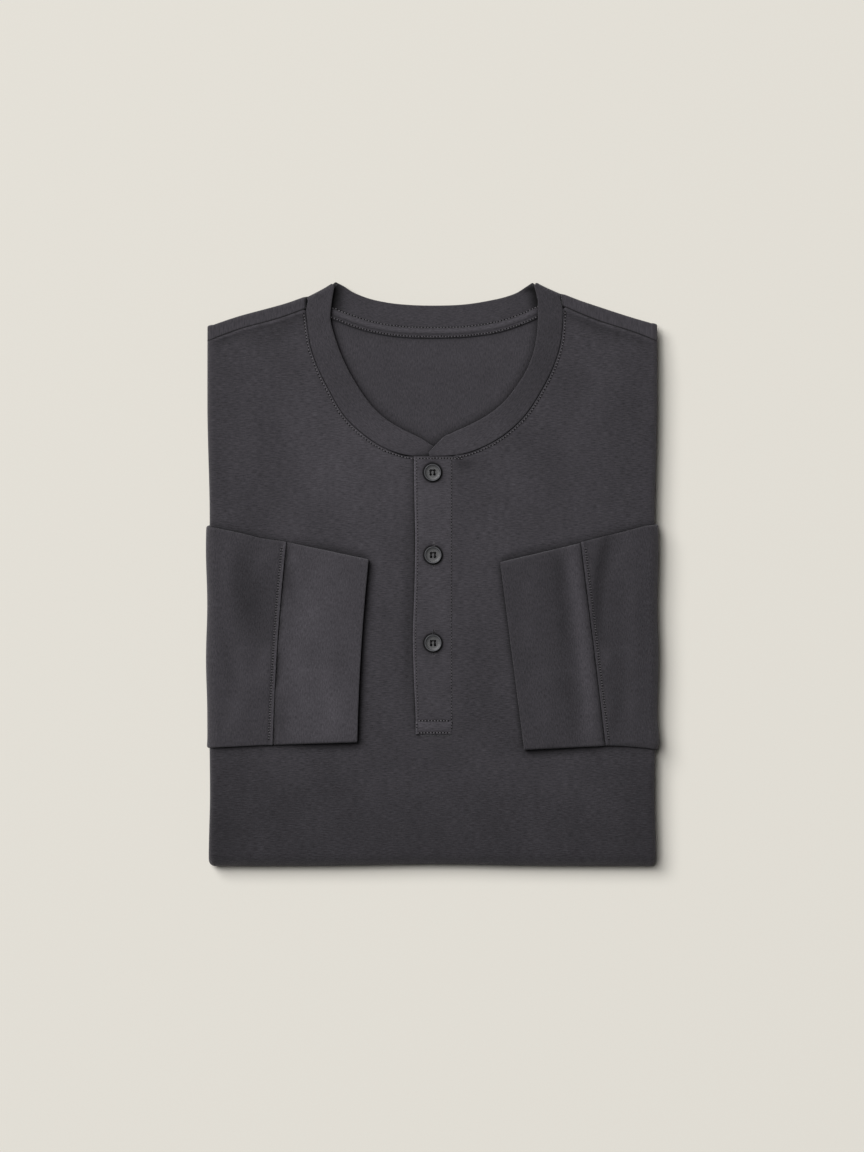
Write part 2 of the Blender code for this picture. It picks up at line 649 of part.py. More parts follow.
def button_mesh():
    """A turned four-hole button with a raised rim, its holes cut through."""
    profile = (
        (0.0, 1.45),
        (3.7, 1.45),
        (4.4, 2.05),
        (5.1, 2.2),
        (5.6, 1.7),
        (BUTTON_RADIUS, 1.0),
        (5.2, 0.2),
        (4.2, 0.0),
        (0.0, 0.0),
    )
    mesh = bpy.data.meshes.new("button_profile")
    edges = [(k, k + 1) for k in range(len(profile) - 1)]
    mesh.from_pydata([(r * MM, 0.0, z * MM) for r, z in profile], edges, [])
    turned = bpy.data.objects.new("button_blank", mesh)
    CUTTERS.objects.link(turned)
    screw = turned.modifiers.new("Turn", "SCREW")
    screw.steps = 24
    screw.render_steps = 24
    screw.use_merge_vertices = True
    screw.merge_threshold = 0.00001
    for side_x in (-1, 1):
        for side_y in (-1, 1):
            bpy.ops.mesh.primitive_cylinder_add(vertices=8, radius=BUTTON_HOLE * MM, depth=6.0 * MM)
            drill = bpy.context.object
            drill.location = (side_x * BUTTON_HOLE_SPREAD * MM, side_y * BUTTON_HOLE_SPREAD * MM, 0.0)
            for owner in list(drill.users_collection):
                owner.objects.unlink(drill)
            CUTTERS.objects.link(drill)
            drill.display_type = "WIRE"
            drill.hide_render = True
            cut = turned.modifiers.new("Hole", "BOOLEAN")
            cut.operation = "DIFFERENCE"
            cut.object = drill
    bpy.context.view_layer.update()
    made = bpy.data.meshes.new_from_object(turned.evaluated_get(bpy.context.evaluated_depsgraph_get()))
    bpy.data.objects.remove(turned, do_unlink=True)
    for drill in list(CUTTERS.objects):
        bpy.data.objects.remove(drill, do_unlink=True)
    return made


def buttons():
    mesh = button_mesh()
    mesh.shade_smooth()
    mesh.set_sharp_from_angle(angle=math.radians(35.0))
    mesh.materials.clear()
    mesh.materials.append(material("button", BUTTON_COLOUR, 0.35))
    for name, (x, y) in BUTTON_PLACES.items():
        button = bpy.data.objects.new(name, mesh)
        button.location = (x * MM, y * MM, (STACK + 2 * GAP + PLACKET_WALL) * MM)
        PARTS.objects.link(button)


clear_scene()
PARTS = bpy.data.collections.new("folded_henley_shirt")
CUTTERS = bpy.data.collections.new("cutters")
bpy.context.scene.collection.children.link(PARTS)
bpy.context.scene.collection.children.link(CUTTERS)

front_panel()
back_panel()
hidden_layers()
neckband()
neck_tape()
plackets()
sleeve("sleeve_left", -1, SLEEVE_LEFT, CUFF_LEFT)
sleeve("sleeve_right", 1, SLEEVE_RIGHT, CUFF_RIGHT)
cuff_piece("cuff_left", -1, CUFF_LEFT)
cuff_piece("cuff_right", 1, CUFF_RIGHT)
buttons()
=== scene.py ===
import math

import bpy
import numpy as np
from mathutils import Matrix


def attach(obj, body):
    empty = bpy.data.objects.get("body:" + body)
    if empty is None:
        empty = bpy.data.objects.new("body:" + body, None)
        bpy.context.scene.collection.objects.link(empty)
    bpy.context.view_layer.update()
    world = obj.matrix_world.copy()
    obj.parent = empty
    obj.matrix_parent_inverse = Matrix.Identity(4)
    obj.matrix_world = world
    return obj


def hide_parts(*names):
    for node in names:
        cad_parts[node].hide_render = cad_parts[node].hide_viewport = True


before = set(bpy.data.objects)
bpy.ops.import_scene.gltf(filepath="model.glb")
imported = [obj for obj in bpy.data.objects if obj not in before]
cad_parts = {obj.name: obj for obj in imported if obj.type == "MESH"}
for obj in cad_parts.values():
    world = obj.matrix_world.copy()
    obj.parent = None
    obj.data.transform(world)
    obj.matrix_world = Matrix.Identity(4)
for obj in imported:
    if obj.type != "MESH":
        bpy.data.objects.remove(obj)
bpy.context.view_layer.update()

# The looks of a folded henley shirt. Sizes are in millimetres up to the meshes, which are in metres.
# X runs across the shirt, Y towards its neck and Z up from the surface it lies on.
mm = 0.001

# Sizes shared with the solids
ply = {"body": 1.1, "band": 2.0, "cuff": 1.4, "placket": 1.2, "tape": 1.0}
gap = 0.3
seamGap = {"neck": 0.30, "shoulder": 0.26, "side": -0.1, "tape": -0.5}
body = {
    "stack": 17.4, "foldY": -181.0, "hemY": 148.5, "half": 144.8, "flare": 1.5, "lip": 8.0,
    "turnDeep": 8.2, "turnShallow": 7.0, "droop": 6.0, "droopFrom": 130.0, "droopTo": 190.0,
    "backEndY": -174.0, "backDrop": 3.2, "sleeveY": -40.0, "sleeveReach": 76.0, "sideTop": 151.8,
    "lean": 1.25, "bow": 1.1, "narrow": 0.8,
}
placket = {
    "left": -12.9, "right": 11.52, "top": 76.75, "bottom": -103.9, "over": 1.9,
    "slotRight": 11.5, "slotBottom": -103.5, "raise": 1.5, "fade": 30.0,
}


def ease(t):
    # 0 below 0, 1 above 1, and 3t^2 - 2t^3 between
    t = np.clip(t, 0.0, 1.0)
    return t * t * (3.0 - 2.0 * t)


def bell(distance, wide, power=2):
    # 1 in the middle, falling away as exp(-(distance / wide)^power)
    return np.exp(-((distance / wide) ** power))


def cubic(values, slope, k, span, t):
    # the cubic from row k to row k + 1 that has the values and slopes of both, at a share t of the way
    return (
        (2 * t**3 - 3 * t**2 + 1) * values[k]
        + (t**3 - 2 * t**2 + t) * span * slope[k]
        + (3 * t**2 - 2 * t**3) * values[k + 1]
        + (t**3 - t**2) * span * slope[k + 1]
    )


def through(rows, shares):
    # a cubic through the rows whose slopes are those of their neighbours, read at shares of its length
    rows = np.array(rows, float)
    along = np.concatenate([[0.0], np.cumsum(np.hypot(*np.diff(rows[:, :2], axis=0).T))])
    slope = np.gradient(rows, along, axis=0)
    at = np.asarray(shares, float) * along[-1]
    k = np.clip(np.searchsorted(along, at, side="right") - 1, 0, len(rows) - 2)
    span = (along[k + 1] - along[k])[:, None]
    return cubic(rows, slope, k, span, (at - along[k])[:, None] / span)


def planNormal(line):
    # the unit direction to the right of a plan line's own direction
    along = np.gradient(line, axis=0)
    along /= np.linalg.norm(along, axis=1)[:, None]
    return np.stack([along[:, 1], -along[:, 0]], axis=1)


def lengths(line):
    # distance along a line from its first point
    return np.concatenate([[0.0], np.cumsum(np.linalg.norm(np.diff(line, axis=0), axis=1))])


def roundLines(radius, count=5):
    # distances from an edge at which a round of that radius turns by equal angles
    return radius * (1.0 - np.cos(np.linspace(0.0, math.pi / 2.0, count)))


def paintedReliefShade(relief):
    # painted light and shade: troughs are painted darker and ridges lighter than flat cloth
    return 1.0 + 0.24 * np.clip(relief, -1.2, 1.2)


def between(length, step, first=0.0, last=0.0):
    # distances over a length, `step` apart, closing up over a rounded first and last edge
    head = roundLines(first) if first else np.array([0.0])
    tail = length - (roundLines(last) if last else np.array([0.0]))[::-1]
    count = max(int(round((tail[0] - head[-1]) / step)), 1)
    return np.concatenate([head, np.linspace(head[-1], tail[0], count + 1)[1:-1], tail])


def roundHalf(distance, radius, reach=None):
    # half the wall at a distance from an edge: a quarter ellipse that reaches the full half wall at `reach`
    inside = 1.0 - np.clip(distance / (reach or radius), 0.0, 1.0)
    return radius * np.sqrt(1.0 - inside**2)


def creases(rows, x, y):
    # a sum of soft ridges and troughs: each falls as exp(-a^4 - b^2) along and across its bowed middle line
    total = np.zeros(np.broadcast(x, y).shape)
    for midX, midY, long, wide, turn, bow, height in rows:
        c, s = math.cos(math.radians(turn)), math.sin(math.radians(turn))
        a = ((x - midX) * c + (y - midY) * s) / long
        b = ((y - midY) * c - (x - midX) * s - bow * a**2) / wide
        total = total + height * np.exp(-(a**4) - b**2)
    return total


def unevenness(x, y, size, height, seed):
    # a slow swell: eight sine waves in seeded directions, from once to twice as long as `size`
    rng = np.random.default_rng(seed)
    total = np.zeros(np.broadcast(x, y).shape)
    for turn, stretch, phase in rng.random((8, 3)):
        k = 2.0 * math.pi / (size * (1.0 + stretch))
        angle = math.pi * 2.0 * turn
        total = total + np.sin(k * (x * math.cos(angle) + y * math.sin(angle)) + 6.283 * phase)
    return height * total / 2.8


def paintedShading(rows, x, y):
    # painted light and shade on the cloth: 1 plus soft spots, each an amount times exp(-a^2 - b^2)
    total = np.ones(np.broadcast(x, y).shape)
    for midX, midY, wide, tall, amount in rows:
        total = total + amount * np.exp(-(((x - midX) / wide) ** 2) - ((y - midY) / tall) ** 2)
    return total


def nearest(x, y, line):
    # distance in plan from each point to the closest point of a line
    fine = through(line, np.linspace(0.0, 1.0, 400))[:, :2] if len(line) < 300 else line
    found = np.full(x.shape, 1e9)
    for first, last in zip(fine[:-1], fine[1:]):
        step = last - first
        t = np.clip(((x - first[0]) * step[0] + (y - first[1]) * step[1]) / max(step @ step, 1e-9), 0.0, 1.0)
        found = np.minimum(found, np.hypot(x - first[0] - t * step[0], y - first[1] - t * step[1]))
    return found



def shellMesh(name, middle, half, uv, keep=None, wrap=False, tone=None):
    # a closed shell: the middle surface moved out by `half` along its normal on both sides, where the
    # normal is the cross product of the grid's two directions. Both faces share the points of an open edge.
    n, m = middle.shape[:2]
    if wrap:
        padded = np.concatenate([middle[:, -1:], middle, middle[:, :1]], axis=1)
        acrossStep = padded[:, 2:] - padded[:, :-2]
    else:
        acrossStep = np.gradient(middle, axis=1)
    normal = np.cross(np.gradient(middle, axis=0), acrossStep)
    normal /= np.maximum(np.linalg.norm(normal, axis=2), 1e-9)[:, :, None]
    cellsAcross = m if wrap else m - 1
    keep = np.ones((n - 1, cellsAcross), bool) if keep is None else keep
    around = np.zeros((n + 1, m + 1), int)
    around[1:-1, 1:cellsAcross + 1] = keep
    if wrap:
        around[:, 0] = around[:, m]
    touching = around[:-1, :-1] + around[1:, :-1] + around[:-1, 1:] + around[1:, 1:]
    if wrap:
        touching = touching[:, :m]
    half = np.where(touching == 4, half, 0.0)
    front = (middle + normal * half[:, :, None]).reshape(-1, 3)
    back = (middle - normal * half[:, :, None]).reshape(-1, 3)
    i, j = np.nonzero(keep)
    k = (j + 1) % m
    corners = np.stack([i * m + j, (i + 1) * m + j, (i + 1) * m + k, i * m + k], axis=1)
    other = np.arange(n * m) + n * m
    other[(half < 1e-6).ravel()] -= n * m
    faces = np.concatenate([corners, other[corners][:, ::-1]])
    used, faces = np.unique(faces, return_inverse=True)
    faces = faces.reshape(-1, 4)
    points = np.concatenate([front, back])[used]
    wide = uv.shape[1]
    places = np.stack([i * wide + j, (i + 1) * wide + j, (i + 1) * wide + j + 1, i * wide + j + 1], axis=1)
    flat = uv.reshape(-1, 2)
    loops = np.concatenate([flat[places], flat[places[:, ::-1]]])
    tone = np.ones((n, m)) if tone is None else np.broadcast_to(tone, (n, m))
    return meshFrom(name, points, faces, loops, np.concatenate([tone.ravel(), tone.ravel()])[used])


def meshFrom(name, points, faces, loops=None, tone=None):
    # a mesh in metres from points in millimetres, with each corner's place in the cloth as its UV. Both sides
    # of the stack lie a little to the left of the table's places: by `lean` beyond 140, by nothing within 60.
    # Towards the bottom each side stands in by `narrow`, and the bottom fold bows in by `bow` at its middle.
    mesh = bpy.data.meshes.new(name)
    points = np.array(points, float)
    points[:, 0] -= body["lean"] * ease((np.abs(points[:, 0]) - 60.0) / 80.0)
    outer = ease((np.abs(points[:, 0]) - 60.0) / 80.0)
    lower = ease((-115.0 - points[:, 1]) / 40.0)
    points[:, 0] -= np.sign(points[:, 0]) * body["narrow"] * outer * lower
    points[:, 1] += body["bow"] * bell(points[:, 0], 50.0) * ease((-150.0 - points[:, 1]) / 30.0)
    mesh.from_pydata((points * mm).tolist(), [], faces if isinstance(faces, list) else faces.tolist())
    if loops is not None:
        writeCloth(mesh, loops)
    if tone is not None:
        writeTone(mesh, tone)
    mesh.shade_smooth()
    return mesh


def writeCloth(mesh, loops):
    # each corner's place in the cloth, its UV: millimetres times 0.001
    mesh.uv_layers.new(name="cloth").data.foreach_set("uv", (loops * mm).astype(np.float32).ravel())


def writeTone(mesh, tone):
    # each point's lightness, which its material multiplies its colour by; it carries painted light and shade,
    # and the buttons' dark thread
    mesh.attributes.new("tone", "FLOAT", "POINT").data.foreach_set("value", tone.astype(np.float32))


def clothPlaces(across, along):
    # a grid's places in the cloth from its distances across and along, each spread over the whole grid
    return np.stack(np.broadcast_arrays(across, along), axis=2)


def ringFaces(count, size, flip=False):
    # quads between neighbouring rings of `size` points, the last point joined to the first
    i, j = (a.ravel() for a in np.meshgrid(np.arange(count - 1), np.arange(size), indexing="ij"))
    k = (j + 1) % size
    if flip:
        return np.stack([i * size + j, i * size + k, (i + 1) * size + k, (i + 1) * size + j], axis=1)
    return np.stack([i * size + j, (i + 1) * size + j, (i + 1) * size + k, i * size + k], axis=1)


def piece(name, mesh, material, stands=()):
    # an object that rides on the one body and takes the place of the solids it stands for
    made = bpy.data.objects.new(name, mesh)
    bpy.context.scene.collection.objects.link(made)
    mesh.materials.append(material)
    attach(made, "root")
    if stands:
        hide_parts(*stands)
    print(f"{name}: {len(mesh.polygons)} faces", flush=True)
    return made


def joined(name, template, faces, places, tone=None):
    # copies of one small template at the given frames (n, 3, 4): its points times each frame's axes, plus
    # the frame's place
    points = np.einsum("nij,pj->npi", places[:, :, :3], template) + places[:, None, :, 3]
    copies = faces[None, :, :] + (np.arange(len(places)) * len(template))[:, None, None]
    return meshFrom(name, points.reshape(-1, 3), copies.reshape(-1, faces.shape[1]), tone=tone)



def addNode(tree, kind, inputs=None, **settings):
    # a node with its settings, and with each input either linked or set
    made = tree.nodes.new(kind)
    for key, value in settings.items():
        setattr(made, key, value)
    for key, value in (inputs or {}).items():
        if isinstance(value, bpy.types.NodeSocket):
            tree.links.new(value, made.inputs[key])
        else:
            made.inputs[key].default_value = value
    return made


def maths(tree, operation, *values):
    # one sum of its values
    return addNode(tree, "ShaderNodeMath", dict(enumerate(values)), operation=operation).outputs[0]


def remap(tree, value, low, high, newLow, newHigh):
    # low to high stretched onto newLow to newHigh, and held at both ends
    sockets = {"Value": value, "From Min": low, "From Max": high, "To Min": newLow, "To Max": newHigh}
    return addNode(tree, "ShaderNodeMapRange", sockets).outputs[0]


def noiseAt(tree, x, y, z, scale, detail, roughness=0.5):
    # smooth noise at a place in millimetres
    place = addNode(tree, "ShaderNodeCombineXYZ", {0: x, 1: y, 2: z}).outputs[0]
    sockets = {"Vector": place, "Scale": scale, "Detail": detail, "Roughness": roughness}
    return addNode(tree, "ShaderNodeTexNoise", sockets).outputs["Fac"]


def objectNoise(tree, scale, detail):
    # smooth noise on the object's own coordinates, in metres
    where = addNode(tree, "ShaderNodeTexCoord").outputs["Object"]
    sockets = {"Vector": where, "Scale": scale, "Detail": detail}
    return addNode(tree, "ShaderNodeTexNoise", sockets).outputs["Fac"]


def toneWithPaintedLight(tree):
    # the lightness written in the mesh, painted light and shade included
    made = addNode(tree, "ShaderNodeAttribute", attribute_name="tone", attribute_type="GEOMETRY")
    return made.outputs["Fac"]


def paint(tree, shader, colour, shade):
    # the base colour is one colour times a shade
    scaled = addNode(tree, "ShaderNodeVectorMath", {0: colour, "Scale": shade}, operation="SCALE")
    tree.links.new(scaled.outputs[0], shader.inputs["Base Color"])


def raiseBy(tree, shader, height, deep, strength=1.0):
    # the surface is raised by a height times a depth
    bump = addNode(tree, "ShaderNodeBump", {"Strength": strength, "Distance": deep, "Height": height})
    tree.links.new(bump.outputs[0], shader.inputs["Normal"])


def newMaterial(name, roughness, specular):
    # a plain surface with its gloss set
    made = bpy.data.materials.new(name)
    made.use_nodes = True
    shader = made.node_tree.nodes["Principled BSDF"]
    shader.inputs["Roughness"].default_value = roughness
    shader.inputs["Specular IOR Level"].default_value = specular
    return made, made.node_tree, shader


knitLook = {
    "colour": (0.0518, 0.0480, 0.0549),
    "wale": 0.78,  # width of a knit stitch
    "course": 0.56,  # height of a knit stitch
    "stitchDeep": 0.13,
    "streakLong": 3.8,  # slubs along the courses
    "streakTall": 0.55,
    "streakTone": 0.36,
    "streakDeep": 0.10,
    "fleckLong": 5.0,  # the brightest slubs stand out as short light dashes
    "fleckTall": 0.62,
    "fleckTone": 0.34,
    "speckSize": 0.75,  # fine fuzz
    "speckTone": 0.11,
    "mottleSize": 9.0,
    "mottleTone": 0.05,
    "swellSize": 26.0,
    "swellDeep": 0.22,
    "sheen": 0.22,
    "paintedShadeReach": 7.0,  # painted shade: ambient occlusion darkens the cloth's colour where it is hemmed in within this distance
    "paintedShadePower": 1.8,
}


# the back, the sleeves and the band show less of the slubs
quietLook = {
    **knitLook,
    "streakTone": 0.31, "streakDeep": 0.09, "streakLong": 2.5, "fleckTone": 0.22, "fleckLong": 3.8,
}


def knitMaterial(name, tone=1.0, seed=0.0, look=knitLook):
    # plain knit: each stitch is two slanted legs, a ridge across each leg times a wave along it; slubs and
    # mottling come from noise stretched along the courses
    made, tree, shader = newMaterial(name, 0.92, 0.25)

    def sums(operation, *values):
        # one sum in this material
        return maths(tree, operation, *values)

    def slubs(long, tall, level, detail, *rough):
        # noise stretched along the courses: long across them, tall up them
        across, up = sums("DIVIDE", x, look[long]), sums("DIVIDE", y, look[tall])
        return noiseAt(tree, across, up, level, 1.0, detail, *rough)

    def spots(size, level, detail):
        # noise whose waves are that size each way
        return noiseAt(tree, x, y, seed + level, 1.0 / look[size], detail)

    place = addNode(tree, "ShaderNodeSeparateXYZ", {0: addNode(tree, "ShaderNodeTexCoord").outputs["UV"]})
    x, y = (sums("MULTIPLY", place.outputs[k], 1.0 / mm) for k in (0, 1))
    shift = remap(tree, noiseAt(tree, x, y, seed, 0.35, 2.0), 0.0, 1.0, -0.5, 0.5)
    across = sums("FRACT", sums("ADD", sums("DIVIDE", x, look["wale"]), shift))
    leg = sums("MULTIPLY", sums("ABSOLUTE", sums("SUBTRACT", across, 0.5)), 2.0)
    wave = sums("ADD", sums("DIVIDE", y, look["course"]), sums("MULTIPLY", leg, 0.6))
    wave = sums("MULTIPLY", sums("ADD", wave, shift), 2.0 * math.pi)
    strand = remap(tree, sums("COSINE", wave), -1.0, 1.0, 0.0, 1.0)
    ridge = sums("SUBTRACT", sums("MULTIPLY", leg, 2.0), 1.0)
    ridge = sums("SUBTRACT", 1.0, sums("MULTIPLY", ridge, ridge))
    stitch = sums("MULTIPLY", strand, ridge)
    slub = slubs("streakLong", "streakTall", seed + 3.0, 2.0, 0.6)
    fleck = remap(tree, slubs("fleckLong", "fleckTall", seed + 15.0, 1.0), 0.58, 0.78, 0.0, look["fleckTone"])
    mottle, swell = spots("mottleSize", 7.0, 2.0), spots("swellSize", 11.0, 2.0)
    speck = spots("speckSize", 19.0, 1.0)
    streakTone = remap(tree, slub, 0.3, 0.7, 1.0 - look["streakTone"], 1.0 + look["streakTone"])
    speckTone = remap(tree, speck, 0.3, 0.7, -look["speckTone"], look["speckTone"])
    streakTone = sums("ADD", sums("ADD", streakTone, fleck), speckTone)
    mottleTone = remap(tree, mottle, 0.3, 0.7, 1.0 - look["mottleTone"], 1.0 + look["mottleTone"])
    stitchTone = remap(tree, stitch, 0.0, 1.0, 0.94, 1.04)
    shade = sums("MULTIPLY", sums("MULTIPLY", streakTone, mottleTone), stitchTone)
    shade = sums("MULTIPLY", sums("MULTIPLY", shade, tone), toneWithPaintedLight(tree))
    # painted shade: the colour is darkened by ambient occlusion, after the mesh's painted light and shade
    reach = {"Distance": look["paintedShadeReach"] * mm}
    openness = addNode(tree, "ShaderNodeAmbientOcclusion", reach, samples=6).outputs["AO"]
    paint(tree, shader, look["colour"], sums("MULTIPLY", shade, sums("POWER", openness, look["paintedShadePower"])))
    height = sums("MULTIPLY", stitch, look["stitchDeep"])
    height = sums("ADD", height, sums("MULTIPLY", slub, look["streakDeep"]))
    height = sums("ADD", height, sums("MULTIPLY", swell, look["swellDeep"]))
    raiseBy(tree, shader, height, mm)
    shader.inputs["Sheen Weight"].default_value = look["sheen"]
    shader.inputs["Sheen Roughness"].default_value = 0.45
    shader.inputs["Sheen Tint"].default_value = (0.75, 0.73, 0.78, 1.0)
    return made


def threadMaterial(name, colour):
    # twisted thread: noise in its colour and its height, times the mesh's tone, which is dark for the dents
    # and the shoulders' sunk thread as painted shade, and for the buttons' dark thread
    made, tree, shader = newMaterial(name, 0.8, 0.1)
    twist = objectNoise(tree, 2500.0, 2.0)
    shade = remap(tree, twist, 0.3, 0.7, 0.75, 1.25)
    paint(tree, shader, colour, maths(tree, "MULTIPLY", shade, toneWithPaintedLight(tree)))
    raiseBy(tree, shader, twist, 0.1 * mm, 0.5)
    return made


buttonLook = {"colour": (0.022, 0.022, 0.0235), "roughness": 0.36}


def buttonMaterial(name, look=buttonLook):
    # moulded plastic with faint clouds in its colour and fine scratches in its gloss; its colour is also
    # times the mesh's tone, a painted rim highlight and painted side shade
    made, tree, shader = newMaterial(name, look["roughness"], 0.5)
    cloud, fine = objectNoise(tree, 320.0, 3.0), objectNoise(tree, 2600.0, 3.0)
    shade = remap(tree, cloud, 0.3, 0.7, 0.82, 1.18)
    paint(tree, shader, look["colour"], maths(tree, "MULTIPLY", shade, toneWithPaintedLight(tree)))
    rough = remap(tree, fine, 0.3, 0.7, look["roughness"] - 0.06, look["roughness"] + 0.08)
    tree.links.new(rough, shader.inputs["Roughness"])
    raiseBy(tree, shader, fine, 0.03 * mm, 0.3)
    return made


def floorMaterial(name, colour):
    # matt paper with the faintest tooth
    made, tree, shader = newMaterial(name, 0.95, 0.1)
    paint(tree, shader, colour, remap(tree, objectNoise(tree, 900.0, 2.0), 0.2, 0.8, 0.992, 1.008))
    return made


bodyKnit = knitMaterial("knitBody", 1.0, 0.0)
backKnit = knitMaterial("knitBack", 1.04, 20.0, quietLook)
sleeveKnit = knitMaterial("knitSleeves", 1.0, 40.0, quietLook)
bandKnit = knitMaterial("knitBand", 1.0, 60.0, quietLook)
placketKnit = knitMaterial("knitPlacket", 1.04, 80.0)
threadGrey = threadMaterial("thread", (0.150, 0.142, 0.152))
buttonPlastic = buttonMaterial("buttonPlastic")
print("materials are made", flush=True)


def sideHalf(y):
    # half the body's width, narrowest where the sleeves pass round
    return body["half"] + body["flare"] * ease((np.abs(y - body["sleeveY"]) - body["sleeveReach"]) / 75.0)


def baseHeight(y):
    # the stack's top face, which hangs down beyond the hem
    share = (y - body["droopFrom"]) / (body["droopTo"] - body["droopFrom"])
    return body["stack"] - body["droop"] * ease(share)


def frontHeight(x, y):
    # the front's outer face: the base, raised beside the placket's stitched edge
    beside = (x > placket["slotRight"] - 0.1) * (1.0 - ease((x - placket["slotRight"]) / placket["fade"]))
    return baseHeight(y) + placket["raise"] * beside * ease((y - placket["slotBottom"]) / 14.0)


def turnDepth(y, upper):
    # height of a turned side: shallow where a sleeve passes, and at the neck end of the upper half
    away = ease((np.abs(y - body["sleeveY"]) - body["sleeveReach"]) / 14.0)
    depth = body["turnShallow"] + (body["turnDeep"] - body["turnShallow"]) * away
    return depth - upper * (body["turnDeep"] - body["turnShallow"]) * ease((y - 105.0) / 40.0)


def turnedSide(step, depth):
    # (inward, below the outer face) of a turned side: a half circle from the flat at 1 to 0, then straight
    # along the lip to -1
    radius = (depth - ply["body"]) / 2.0
    angle = math.pi * (np.maximum(step, 0.0) - 0.5)
    inward = depth / 2.0 - radius * np.cos(angle) + np.maximum(-step, 0.0) * body["lip"]
    return inward, depth / 2.0 - radius * np.sin(angle)


def turnSteps(lip=True, arc=14):
    # steps of a turned side from its rounded lip end to the flat
    inLip = np.array([0.0])
    if lip:
        inLip = -1.0 + between(body["lip"], 2.0, first=ply["body"] / 2.0) / body["lip"]
    return np.concatenate([inLip, np.linspace(0.0, 1.0, arc + 1)[1:]])


shoulderLeft = (  # across, seam, fold over the top
    (-146.4, 151.8, 161.0),
    (-126.3, 159.3, 167.9),
    (-106.8, 164.8, 173.3),
    (-96.0, 168.2, 176.4),
    (-82.2, 173.6, 181.4),
)
shoulderRight = (
    (146.1, 151.8, 162.5),
    (133.7, 156.7, 166.0),
    (107.7, 165.1, 174.2),
    (95.0, 170.0, 178.4),
    (82.4, 175.4, 183.2),
)


def overSide(rows, steps):
    # y of a shoulder's seam where it passes over the turned side, at steps of its arc
    inside, _ = turnedSide(np.maximum(steps, 0.5), body["turnShallow"])
    line = through(rows, np.linspace(1.0, 0.0, 60))
    return np.interp(sideHalf(body["sideTop"]) - inside, np.abs(line[:, 0]), line[:, 1])


def onTheFlat(line):
    # the points of a line that lie inside the turned sides
    return line[np.abs(line[:, 0]) < sideHalf(body["sideTop"]) - body["turnShallow"] / 2.0 - 0.4]


bandLeft = (  # seamed edge, free edge, height, lift of the free edge
    (-83.2, 171.8, -66.4, 178.2, 0.0, 1.2),
    (-82.1, 161.0, -67.4, 166.7, 0.0, 0.9),
    (-79.8, 147.0, -63.9, 152.4, 0.0, 0.5),
    (-75.0, 133.5, -58.3, 138.0, 0.0, 0.2),
    (-67.5, 118.5, -51.0, 124.5, 0.0, 0.0),
    (-58.3, 103.0, -42.5, 112.0, 0.0, 0.0),
    (-46.0, 91.0, -32.5, 101.8, 0.0, 0.0),
    (-31.0, 81.6, -20.5, 94.3, -0.1, 0.0),
    (-14.0, 76.9, -8.5, 88.4, -0.8, 0.0),
    (-1.0, 76.8, 0.5, 82.8, -1.2, 0.0),
    (9.0, 76.9, 9.5, 78.8, -1.2, 0.0),
)
bandRight = (
    (84.0, 172.6, 67.4, 178.4, 0.0, 1.2),
    (83.7, 162.0, 67.4, 166.0, 0.0, 0.9),
    (81.8, 148.0, 65.9, 150.5, 0.0, 0.5),
    (76.9, 133.7, 61.8, 136.8, 0.0, 0.2),
    (69.0, 118.5, 54.6, 124.2, 0.0, 0.0),
    (60.0, 104.7, 45.5, 112.5, 0.0, 0.0),
    (48.0, 92.8, 34.5, 103.6, 0.0, 0.0),
    (34.0, 84.0, 22.0, 96.8, 0.3, 0.0),
    (18.0, 78.2, 11.5, 92.0, 1.2, 0.0),
    (4.0, 76.9, 4.0, 87.5, 1.3, 0.0),
    (-3.0, 76.9, -3.6, 79.4, 1.3, 0.0),
)
bandBack = (
    (-78.5, 178.4, -63.6, 190.0, 0.2, 0.6),
    (-73.0, 175.8, -59.0, 187.7, 0.2, 0.3),
    (-66.5, 172.8, -53.4, 184.0, 0.4, 0.0),
    (-58.0, 169.4, -45.5, 180.6, 0.5, 0.0),
    (-42.0, 164.0, -32.0, 177.2, 0.5, 0.0),
    (-22.0, 160.6, -17.0, 175.5, 0.5, 0.0),
    (0.0, 159.9, 0.0, 175.0, 0.5, 0.0),
    (22.0, 160.7, 18.0, 175.6, 0.5, 0.0),
    (42.0, 163.8, 33.0, 177.7, 0.5, 0.0),
    (57.0, 168.9, 46.5, 180.7, 0.5, 0.0),
    (67.0, 173.4, 54.6, 183.8, 0.4, 0.0),
    (73.5, 176.4, 59.6, 187.1, 0.2, 0.2),
    (79.0, 178.8, 63.6, 189.7, 0.2, 0.6),
)

